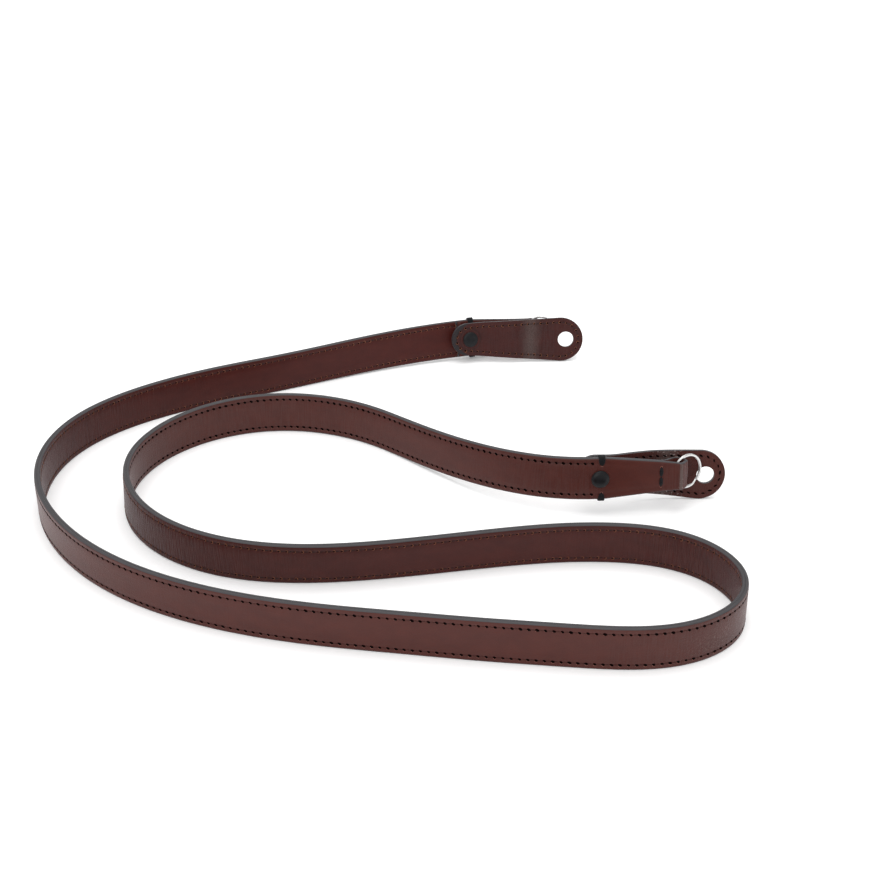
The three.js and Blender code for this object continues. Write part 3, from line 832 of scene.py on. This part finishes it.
def flat_pad():
    """The pad's mesh while it is flat: x along, y through it, z across, in millimetres."""
    work = bmesh.new()
    angles = [2 * pi * i / HOLE_SIDES for i in range(HOLE_SIDES)]
    hole = [(LUG_HOLE_AT + LUG_HOLE_R * cos(angle), LUG_HOLE_R * sin(angle)) for angle in angles]
    for points in (pad_outline(0, 44), hole):
        verts = [work.verts.new((x, 0, z)) for x, z in points]
        for a, b in zip(verts, verts[1:] + verts[:1]):
            work.edges.new((a, b))
    bmesh.ops.triangle_fill(work, edges=work.edges[:], use_beauty=True)
    for i in range(1, int((PAD_REACH + PAD_TAIL) / PAD_SLICE)):
        cut_at = (-PAD_TAIL + i * PAD_SLICE, 0, 0)
        everything = work.verts[:] + work.edges[:] + work.faces[:]
        bmesh.ops.bisect_plane(work, geom=everything, dist=1e-4, plane_co=cut_at, plane_no=(1, 0, 0))
    mesh = bpy.data.meshes.new("flat_pad")
    work.to_mesh(mesh)
    work.free()
    made = to_object("flat_pad", mesh)
    thick = made.modifiers.new("thickness", "SOLIDIFY")
    thick.thickness = PAD_THICK
    thick.offset = 0
    rounded = made.modifiers.new("rounded_edge", "BEVEL")
    rounded.width = PAD_ROUND
    rounded.segments = 3
    rounded.limit_method = "ANGLE"
    rounded.angle_limit = radians(50)
    solid = evaluated(made)
    bpy.data.objects.remove(made)
    return solid


def onto_bow(x, through, curl):
    """Where a point of the flat pad lands once it is bowed: x and y."""
    slope = (pad_middle(x + 0.01, curl) - pad_middle(x - 0.01, curl)) / 0.02
    size = hypot(1, slope)
    return x - through * slope / size, pad_middle(x, curl) + through / size


def pad(name, end):
    mesh = flat_pad()
    flat = [v.co.copy() for v in mesh.vertices]
    kinds = [1 if abs(p.normal.y) < 0.6 else 0 for p in mesh.polygons]
    layer = mesh.uv_layers.new(name="leather_map")
    for polygon, on_edge in zip(mesh.polygons, kinds):
        face_v = PAD_FRONT_V if polygon.center.y > 0 else PAD_BACK_V
        for k in polygon.loop_indices:
            v = flat[mesh.loops[k].vertex_index]
            layer.data[k].uv = (v.x + v.z, PAD_EDGE_V + v.y) if on_edge else (v.x, v.z + face_v)
    axes = hanging_axes(end)
    bends = []
    for vertex, v in zip(mesh.vertices, flat):
        x, y = onto_bow(v.x, v.y, end["curl"])
        vertex.co = (axes @ Vector((x, y, v.z))) * MM
        bends.append(0.3 + 0.7 * max(0, 1 - abs(v.x - CREASE_AT) / CREASE_REACH))
    mesh.attributes.new("bend", "FLOAT", "POINT").data.foreach_set("value", bends)
    mesh.polygons.foreach_set("material_index", kinds)
    smooth_skin(mesh)
    return to_object(name, mesh, pad_finish, edge_finish)


pads = {name: pad("pad_" + name, end) for name, end in ENDS.items()}
print("a pad has", len(pads["near"].data.polygons), "faces")

# %% [markdown]
# A split ring is flat spring wire wound twice round, stepping over from one round to the next.
# One loft of a rounded outline along that path makes it.

# %% The split rings
RING_STEPS = 260
WIRE_SIDES = 14


def split_ring(name, end):
    ring_x = FOLD_AT + RING_OFFSET * cos(RING_TURN)
    ring_y = FOLD_MIDDLE - RING_OFFSET * sin(RING_TURN)
    axes = end_axes(end) @ Matrix.Translation((ring_x, ring_y, 0)) @ Matrix.Rotation(-RING_TURN, 4, "Z")
    middle = (RING_INNER_R + RING_OUTER_R) / 2
    apart = (RING_COIL + RING_COIL_GAP) / 2
    first = RING_STEP_TURN / 2
    last = 4 * pi - RING_STEP_TURN / 2
    rings = []
    maps = []
    for i in range(RING_STEPS + 1):
        angle = first + (last - first) * i / RING_STEPS
        around = angle + RING_STEP_AT
        t = min(1, max(0, (angle - 2 * pi + RING_STEP_TURN / 2) / RING_STEP_TURN))
        y = apart * (2 * t * t * (3 - 2 * t) - 1)
        ease = min(1, 0.55 + 0.12 * min(i, RING_STEPS - i))  # thins the wire at its two ends
        ring = []
        for k in range(WIRE_SIDES):
            a = 2 * pi * k / WIRE_SIDES
            wide = RING_WIRE / 2 * ease * abs(cos(a)) ** 0.7 * (1 if cos(a) > 0 else -1)
            deep = RING_COIL / 2 * ease * abs(sin(a)) ** 0.8 * (1 if sin(a) > 0 else -1)
            r = middle + wide
            ring.append(axes @ Vector((r * cos(around), y + deep, r * sin(around))))
        rings.append(ring)
        maps.append([(angle * middle, k * 0.2) for k in range(WIRE_SIDES + 1)])
    return loft(name, rings, maps, [0] * len(rings), [False] * WIRE_SIDES, [ring_finish])


rings = {name: split_ring("ring_" + name, end) for name, end in ENDS.items()}

# %% [markdown]
# A snap shows a domed cap in front and a smaller one behind. Each is a pressed disc with a rolled rim:
# a profile turned round the snap's axis.

# %% The snap caps
CAP_OFF = 0.1  # from the leather to a cap's rim
CAP_TIP = (SOCKET_FRONT + SOCKET_BACK) / 2 + FIT_GAP
BACK_TIP = CAP_TIP - 2 * FIT_GAP - STUD_WALL - FIT_GAP
PAD_BEHIND = PAD_PLANE - PAD_THICK / 2


def turned(name, profile, axes, material, segments=48):
    """Turns a profile of (radius, height) round the y axis. It starts and ends on the axis."""
    angles = [2 * pi * k / segments for k in range(segments)]
    work = bmesh.new()
    rows = []
    for r, y in profile:
        points = [Vector((r * cos(a), y, r * sin(a))) for a in angles] if r > 0 else [Vector((0, y, 0))]
        rows.append([work.verts.new(axes @ p * MM) for p in points])
    for a, b in zip(rows, rows[1:]):
        for k in range(segments):
            j = (k + 1) % segments
            corners = [a[k % len(a)], a[j % len(a)], b[j % len(b)], b[k % len(b)]]
            work.faces.new(list(dict.fromkeys(corners)))
    mesh = bpy.data.meshes.new(name)
    work.to_mesh(mesh)
    work.free()
    smooth_skin(mesh)
    return to_object(name, mesh, material)


def cap_profile(radius, rise, base, tip, side):
    """A dome with a rolled rim and a post. base is the face it stands on, tip the post's end, and
    side is 1 for a cap that rises forward and -1 for one that rises backward."""
    high = rise + FIT_GAP - CAP_OFF
    foot = base + side * CAP_OFF
    dome = []
    for i in range(17):
        share = sin(pi / 2 * i / 16)
        dome.append((share * radius, (0.22 + 0.78 * (1 - share ** 2.6) ** 0.55) * high))
    rim = [(0.995 * radius, 0.1 * high), (0.97 * radius, 0), (0.94 * radius, -0.05 * high)]
    rows = [(r, foot + side * h) for r, h in dome + rim]
    return rows + [(POST_R + 0.05, foot), (POST_R, foot - 0.02 * side), (POST_R, tip), (0, tip)]


caps = {}
for name, end in ENDS.items():
    profile = cap_profile(CAP_R, CAP_RISE, FACE, CAP_TIP, 1)
    caps["snap_cap_" + name] = turned("cap_front_" + name, profile, end_axes(end), snap_finish)
    profile = cap_profile(BACK_CAP_R, BACK_CAP_RISE, PAD_BEHIND, BACK_TIP, -1)
    caps["snap_back_" + name] = turned("cap_back_" + name, profile, hanging_axes(end), snap_finish)


# %% [markdown]
# Stitches repeat by the hundred, which is work for Geometry Nodes. A guide holds one point for each
# stitch. Each point keeps the way out of the leather and the way along the seam, and the tree sets one
# small shape on it, turned to those two ways and a little by chance, as hand-made stitches are.

# %% Helpers for Geometry Nodes
ROW_INPUTS = [
    ("Guide", "Geometry", None), ("Unevenness", "Float", 0.1), ("Seed", "Int", 7),
    ("Finish", "Material", None), ("Length", "Float", 2 * MM), ("Width", "Float", 0.5 * MM),
    ("Height", "Float", 0.2 * MM), ("Slant", "Float", 0.0),
]


def new_tree(name, rows, result):
    """A tree with an input for each (name, kind, value), and its inputs."""
    tree = bpy.data.node_groups.new(name, "GeometryNodeTree")
    tree.is_modifier = True
    for title, kind, value in rows:
        socket = tree.interface.new_socket(title, in_out="INPUT", socket_type="NodeSocket" + kind)
        if value is not None:
            socket.default_value = value
    tree.interface.new_socket(result, in_out="OUTPUT", socket_type="NodeSocketGeometry")
    return tree, tree.nodes.new("NodeGroupInput").outputs


def on_points(points, shape, **turns):
    """Sets a shape on each point, as real geometry."""
    placed = node("GeometryNodeInstanceOnPoints", {"Points": points, "Instance": shape, **turns})
    return node("GeometryNodeRealizeInstances", {0: placed})


def finish_tree(tree, geometry, finish):
    """The tree's last step, which gives the finish."""
    finished = node("GeometryNodeSetMaterial", {"Geometry": geometry, "Material": finish})
    tree.links.new(finished, tree.nodes.new("NodeGroupOutput").inputs[0])


def row_tree(name, make_shape):
    """A tree that sets a shape on each point of a guide. make_shape(tree, inputs) makes the shape."""
    tree, inputs = new_tree(name, ROW_INPUTS, "Row")
    as_vector = {"data_type": "FLOAT_VECTOR"}
    out = source(tree, "GeometryNodeInputNamedAttribute", {"Name": "out"}, **as_vector)
    along = source(tree, "GeometryNodeInputNamedAttribute", {"Name": "along"}, **as_vector)
    ways = {0: out, 1: along}
    facing = node("FunctionNodeAxesToRotation", ways, primary_axis="Z", secondary_axis="X")
    uneven = vector(z=inputs["Unevenness"])
    less = node("ShaderNodeVectorMath", {0: uneven, "Scale": -1.0}, operation="SCALE")
    chances = {0: less, 1: uneven, "Seed": inputs["Seed"]}
    chance = node("FunctionNodeRandomValue", chances, **as_vector)
    twist = node("FunctionNodeEulerToRotation", {0: chance})
    facing = node("FunctionNodeRotateRotation", {0: facing, 1: twist}, rotation_space="LOCAL")
    sizes = {2: 0.85, 3: 1.12, "Seed": inputs["Seed"]}
    size = node("FunctionNodeRandomValue", sizes, output=1, data_type="FLOAT")
    row = on_points(inputs["Guide"], make_shape(tree, inputs), Rotation=facing, Scale=size)
    finish_tree(tree, row, inputs["Finish"])
    return tree


def run_tree(name, guide, tree, values):
    """Runs a tree on a guide mesh and keeps the result as a plain mesh."""
    made = to_object(name, guide)
    step = made.modifiers.new("row", "NODES")
    step.node_group = tree
    for item in tree.interface.items_tree:
        if item.in_out == "INPUT" and item.name in values:
            step[item.identifier] = values[item.name]
    result = evaluated(made)
    result.name = name
    made.modifiers.clear()
    made.data = result
    for extra in ("out", "along"):
        if extra in result.attributes:
            result.attributes.remove(result.attributes[extra])
    result.shade_smooth()
    print(name, len(result.polygons), "faces")
    return made


def guide_mesh(name, places, joined=False):
    """A mesh with one vertex for each (point, out, along) in millimetres, joined in a chain if asked."""
    edges = [(i, i + 1) for i in range(len(places) - 1)] if joined else []
    mesh = bpy.data.meshes.new(name)
    mesh.from_pydata([point * MM for point, out, along in places], edges, [])
    for k, title in enumerate(("out", "along"), 1):
        values = [c for place in places for c in place[k]]
        mesh.attributes.new(title, "FLOAT_VECTOR", "POINT").data.foreach_set("vector", values)
    return mesh


# %% [markdown]
# Four small shapes are enough for the seams. A stitch is a short thread that rises out of one hole
# and goes into the next. A loop is the other thread, drawn up round it at each hole. A hole is the
# slanted slit that the awl leaves, made near-black as painted shade, and the leather pushed up round
# it is the hole's lip, painted pale as a painted highlight.

# %% The shapes in a row of stitches
def circle(tree, resolution, radius):
    sizes = {"Resolution": resolution, "Radius": radius}
    return source(tree, "GeometryNodeCurvePrimitiveCircle", sizes, mode="RADIUS")


def slanted(shape, inputs, **more):
    """A shape turned by the row's slant, and scaled or moved by more."""
    values = {"Geometry": shape, "Rotation": vector(z=inputs["Slant"]), **more}
    return node("GeometryNodeTransform", values)


def thread_shape(tree, curve, width, sides=6):
    """A thread along a curve, full in the middle and thin at both ends."""
    share = source(tree, "GeometryNodeSplineParameter")
    swell = math("SQRT", plus(0.12, times(3.5, times(share, minus(1.0, share)))))
    profile = circle(tree, sides, times(width, 0.5))
    inputs = {"Curve": curve, "Profile Curve": profile, "Scale": swell, "Fill Caps": True}
    return node("GeometryNodeCurveToMesh", inputs)


def stitch_shape(tree, inputs):
    half = times(inputs["Length"], 0.5)
    ends = {"Start": vector(times(half, -1.0)), "End": vector(half)}
    line = node("GeometryNodeCurvePrimitiveLine", ends)
    line = node("GeometryNodeResampleCurve", {"Curve": line, "Count": 7}, mode="COUNT")
    share = source(tree, "GeometryNodeSplineParameter")
    arch = times(times(4.0, share), minus(1.0, share))
    offset = vector(z=times(inputs["Height"], minus(arch, 0.75)))
    line = node("GeometryNodeSetPosition", {"Geometry": line, "Offset": offset})
    return slanted(thread_shape(tree, line, inputs["Width"]), inputs)


def loop_shape(tree, inputs):
    arc = {"Resolution": 9, "Radius": math("MULTIPLY", inputs["Length"], 0.5)}
    arc.update({"Start Angle": radians(-105), "Sweep Angle": radians(205)})
    line = node("GeometryNodeCurveArc", arc, mode="RADIUS")
    body = thread_shape(tree, line, inputs["Width"], 5)
    return slanted(body, inputs, Translation=vector(z=inputs["Height"]))


def hole_shape(tree, inputs):
    ball = source(tree, "GeometryNodeMeshUVSphere", {"Segments": 8, "Rings": 4, "Radius": 0.5})
    size = vector(inputs["Length"], inputs["Width"], inputs["Height"])
    return slanted(ball, inputs, Scale=size)


def lip_shape(tree, inputs):
    size = vector(inputs["Length"], inputs["Width"], 1.0)
    ring = slanted(circle(tree, 10, 0.5), inputs, Scale=size)
    round_lip = {"Curve": ring, "Profile Curve": circle(tree, 5, inputs["Height"])}
    return node("GeometryNodeCurveToMesh", round_lip)


stitch_row = row_tree("stitch_row", stitch_shape)
loop_row = row_tree("loop_row", loop_shape)
hole_row = row_tree("hole_row", hole_shape)
lip_row = row_tree("lip_row", lip_shape)

# %% [markdown]
# The strap has a row near each edge. The front shows the slits, dark as painted shade, each with its
# lip, painted pale as a painted highlight, and the thread sunk between them. The back shows a darker
# thread with a light brown loop at each hole, and its holes are dark as painted shade too.

# %% The strap's stitching
STITCH_COUNT = 380
HOLES = STITCH_COUNT + 1
PITCH = (STRAP_LENGTH - 2 * SEWN_FROM) / STITCH_COUNT
ROW_UP = STRAP_WIDTH / 2 - ROW_INSET
seams = {}


def strap_rows(side, first, count, rise=0.0, drop=0.0):
    """Places along both rows, on the front where side is 1 and on the back where it is -1.
    first is 0 at a hole and a half between two of them. rise and drop move them out and down."""
    places = []
    for up_by in (-ROW_UP, ROW_UP):
        for k in range(count):
            point, along, front, up = frame_at(SEWN_FROM + (first + k) * PITCH)
            spot = point + front * side * (FACE - ROW_SINK + rise) + up * (up_by - drop)
            places.append((spot, front * side, along))
    return places


def seam(name, places, tree, finish, length, width, height, slant, uneven=0.1):
    """A row of one shape. Its sizes are in millimetres, its slant in degrees and uneven in radians."""
    values = {"Finish": finish, "Length": length * MM, "Width": width * MM, "Height": height * MM}
    values.update({"Slant": radians(slant), "Unevenness": uneven})
    seams[name] = run_tree(name, guide_mesh(name, places), tree, values)


# After the finish come length, width and height, the slant, and where it isn't 0.1 the unevenness.
# The holes are near-black painted shade.
seam("front_holes", strap_rows(1, 0, HOLES, 0.12), hole_row, hole_shade, 1.6, 1.15, 0.24, -35)
# The lips are painted pale as a painted highlight, and set a little low so that it shows below each hole.
seam("front_lips", strap_rows(1, 0, HOLES, 0.03, 0.46), lip_row, lip_highlight, 1.0, 0.75, 0.12, -20)
seam("front_thread", strap_rows(1, 0.5, STITCH_COUNT), stitch_row, sunk_thread, 2.2, 0.42, 0.16, -8)
# The back's holes are near-black painted shade too.
seam("back_holes", strap_rows(-1, 1, HOLES - 2, 0.02), hole_row, hole_shade, 0.95, 0.7, 0.14, 30)
seam("back_thread", strap_rows(-1, 1.5, STITCH_COUNT - 2), stitch_row, dark_thread, 2.1, 0.45, 0.2, 10)
seam("back_loops", strap_rows(-1, 1, HOLES - 2, 0.08), loop_row, brown_thread, 1.25, 0.28, 0.05, 8, 0.6)

# %% [markdown]
# Each pad is sewn all round. Its guide is the outline moved in, walked in equal steps and put onto
# the bow like the pad itself.

# %% The pads' stitching
PAD_ROW_INSET = 2.3
PAD_PITCH = 3.2


def pad_row(end, face, first=0.0, rise=0.0):
    """Places all round a pad, on its front where face is 1 and on its back where it is -1."""
    axes = hanging_axes(end)
    turn = axes.to_3x3()
    corners = [Vector(p) for p in pad_outline(PAD_ROW_INSET, 60)]
    corners.append(corners[0])
    reached = [0.0]
    for a, b in zip(corners, corners[1:]):
        reached.append(reached[-1] + (b - a).length)
    count = round(reached[-1] / PAD_PITCH)

    def on_face(x, z):
        x, y = onto_bow(x, face * (PAD_THICK / 2 + rise), end["curl"])
        return Vector((x, y, z))

    places = []
    i = 0
    for k in range(count):
        at = (k + first) * reached[-1] / count
        while reached[i + 1] < at:
            i += 1
        spot = corners[i].lerp(corners[i + 1], (at - reached[i]) / (reached[i + 1] - reached[i]))
        ahead = spot + (corners[i + 1] - corners[i]).normalized() * 0.1
        here = on_face(*spot)
        middle_x, middle_y = onto_bow(spot.x, 0, end["curl"])
        out = Vector((here.x - middle_x, here.y - middle_y, 0)).normalized()
        along = (on_face(*ahead) - here).normalized()
        places.append((axes @ here, turn @ out, turn @ along))
    return places


# A pad's holes are near-black painted shade, and its thread and loops are the strap's.
PAD_SEAMS = (
    ("pad_holes_", (1, 0, 0.02), hole_row, hole_shade, 1.9, 0.85, 0.24, -24, 0.25),
    ("pad_thread_", (1, 0.5, -0.05), stitch_row, sunk_thread, 1.6, 0.45, 0.16, -10),
    ("pad_back_holes_", (-1, 0, 0.02), hole_row, hole_shade, 1.0, 0.7, 0.14, 30),
    ("pad_back_thread_", (-1, 0.5, -0.03), stitch_row, dark_thread, 2.2, 0.45, 0.2, 10),
    ("pad_back_loops_", (-1, 0, 0.08), loop_row, brown_thread, 1.2, 0.28, 0.05, 8, 0.7),
)
for name, end in ENDS.items():
    for title, row, *recipe in PAD_SEAMS:
        seam(title + name, pad_row(end, *row), *recipe)

# %% [markdown]
# Thick black thread makes a bar over each edge beside the snap, where the tab's two leathers are
# tied to the strap. Its turns lie side by side over the edge and draw together at the hole.
# Two short bars of the same thread close the fold, and draw together at both of their ends.
# Every bar is one thread path, repeated sideways, gathered at its holes and swollen in the middle.

# %% A tree for bars of thread
BAR_INPUTS = [
    ("Guide", "Geometry", None), ("Turns", "Int", 5), ("Spacing", "Float", 0.5 * MM),
    ("Thread", "Float", 0.5 * MM), ("Middle", "Float", 0.0), ("Half", "Float", 2 * MM),
    ("Taper", "Float", 1 * MM), ("Crown", "Float", 0.2), ("Finish", "Material", None),
]


def make_bar_tree():
    tree, inputs = new_tree("thread_bar", BAR_INPUTS, "Bar")
    path = node("GeometryNodeMeshToCurve", {0: inputs["Guide"]})
    skin = {"Curve": path, "Profile Curve": circle(tree, 7, times(inputs["Thread"], 0.5)), "Fill Caps": True}
    one_turn = node("GeometryNodeCurveToMesh", skin)
    first_at = times(times(minus(inputs["Turns"], 1.0), -0.5), inputs["Spacing"])
    line = {"Count": inputs["Turns"], "Start Location": vector(first_at)}
    line["Offset"] = vector(inputs["Spacing"])
    places = node("GeometryNodeMeshLine", line, mode="OFFSET")
    bars = on_points(places, one_turn)
    x, y, z = vector_parts(source(tree, "GeometryNodeInputPosition"))
    from_middle = math("ABSOLUTE", minus(z, inputs["Middle"]))
    room = between(minus(inputs["Half"], from_middle), 0.0, inputs["Taper"])
    spread = plus(0.14, times(0.86, math("POWER", room, 0.6)))
    half_width = times(times(inputs["Turns"], inputs["Spacing"]), 0.5)
    across = math("POWER", math("ABSOLUTE", math("DIVIDE", x, half_width)), 2.0)
    swell = times(times(inputs["Crown"], room), minus(1.0, across))
    gathered = vector(times(x, spread), times(y, plus(1.0, swell)), z)
    bars = node("GeometryNodeSetPosition", {"Geometry": bars, "Position": gathered})
    finish_tree(tree, bars, inputs["Finish"])
    return tree


bar_tree = make_bar_tree()


# %% The bars beside the snaps and across the fold
def bar(name, path_points, axes, middle, half, turns, spacing, size, taper, crown):
    """A bar of thread. The path is (y, z) points in the bar's own axes. middle, half and taper say
    where along z the turns draw together, and crown how much the middle turns stand out."""
    places = [(Vector((0, y, z)), Vector((0, 1, 0)), Vector((0, 0, 1))) for y, z in path_points]
    sizes = {"Spacing": spacing, "Thread": size, "Middle": middle, "Half": half, "Taper": taper}
    values = {title: value * MM for title, value in sizes.items()}
    values.update({"Turns": turns, "Crown": crown, "Finish": black_thread})
    made = run_tree(name, guide_mesh(name, places, True), bar_tree, values)
    axes = axes.copy()
    axes.translation *= MM
    made.data.transform(axes)
    smooth_skin(made.data)
    seams[name] = made


def edge_path(half, hole):
    """Over the strap's edge, from the hole in front to the hole behind."""
    front = FACE + EDGE_BAR_OFF
    over = [(front - 0.6, hole), (front - 0.1, hole + 0.3), (front + 0.05, hole + 0.9), (front, half - 0.8)]
    for k in range(1, 8):
        angle = pi / 2 * k / 4
        y = front * cos(angle)
        over.append((y if k != 4 else 0, half - 0.8 + 1.5 * sin(angle) ** 0.6))
    return over + [(-y, z) for y, z in reversed(over[:4])]


def short_path(low, high, face, rise, steps=12):
    """Out of one hole and into the next, on a face."""
    rises = [face + rise * (sin(pi * i / steps) ** 0.7 - 0.6) for i in range(steps + 1)]
    return [(y, low + (high - low) * i / steps) for i, y in enumerate(rises)]


TOP_HOLE = 6.1  # from the strap's middle to the holes of the bar over its upper edge
LOW_HOLE = 6.5
FOLD_HOLE = 4.4
FOLD_BAR_APART = 0.05  # from the strap's middle to each of the two short bars
ONE_SIDED = 50  # a middle so far away that only the hole's end is drawn together
EDGE_BAR_OFF = 0.14  # from the leather to the middle of a bar's thread
FOLD_BAR_OFF = 0.08
EDGE_BAR = {"turns": 6, "spacing": 0.47, "size": 0.56, "taper": 1.7, "crown": 0.2}
FOLD_BAR = {"turns": 4, "spacing": 0.36, "size": 0.52, "taper": 1.3, "crown": 0.22}
turn_over = Matrix.Rotation(pi, 4, "Y")
bar_holes = []
for name, end in ENDS.items():
    base = end_axes(end)
    ways = (base.to_3x3().col[1], base.to_3x3().col[0])
    beside = base @ Matrix.Translation((end["bars_at"], 0, 0))
    for side, flip in ((1, Matrix.Identity(4)), (-1, turn_over)):
        hole, label = (TOP_HOLE, "top") if side == end["outward"] else (LOW_HOLE, "low")
        path_points = edge_path(STRAP_WIDTH / 2, hole)
        middle = hole - 0.2 + ONE_SIDED
        bar(f"edge_bar_{label}_{name}", path_points, beside @ flip, middle, ONE_SIDED, **EDGE_BAR)
        bar_holes.append((beside @ Vector((0, FACE, side * hole)), *ways))
    at_fold = base @ Matrix.Translation((FOLD_CLOSES_AT, 0, 0))
    for k, (low_z, high_z) in enumerate(((-FOLD_HOLE, -FOLD_BAR_APART), (FOLD_BAR_APART, FOLD_HOLE))):
        for side, label in ((1, "front"), (-1, "back")):
            path_points = short_path(low_z, high_z, side * (FACE + FOLD_BAR_OFF), side * 0.5)
            middle = (low_z + high_z) / 2
            half = FOLD_HOLE / 2 + FOLD_BAR_APART
            bar(f"fold_bar_{label}_{k}_{name}", path_points, at_fold, middle, half, **FOLD_BAR)
    for z in (-FOLD_HOLE, FOLD_HOLE):
        bar_holes.append((at_fold @ Vector((0, FACE, z)), *ways))
# Each bar hole is near-black painted shade, and its lip is painted pale as a painted highlight.
seam("bar_holes", bar_holes, hole_row, hole_shade, 0.8, 0.8, 0.14, 0)
seam("bar_lips", bar_holes, lip_row, lip_highlight, 1.0, 1.0, 0.13, 0)

# %% [markdown]
# The snaps' inner pieces are right as solids, so they stay and only get the black finish.
# Every new piece rides on the strap's only body.

# %% Hand the pieces over
for name in ENDS:
    for kept in ("snap_socket_", "snap_stud_"):
        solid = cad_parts[kept + name]
        solid.data.materials.clear()
        solid.data.materials.append(snap_finish)

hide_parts("front_leather")
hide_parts("back_leather")
for name in ENDS:
    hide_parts("lug_pad_" + name)
    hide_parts("split_ring_" + name)
for solid_name, made in caps.items():
    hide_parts(solid_name)
for made in [front_leather, back_leather, *pads.values(), *rings.values(), *caps.values(), *seams.values()]:
    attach(made, "root")
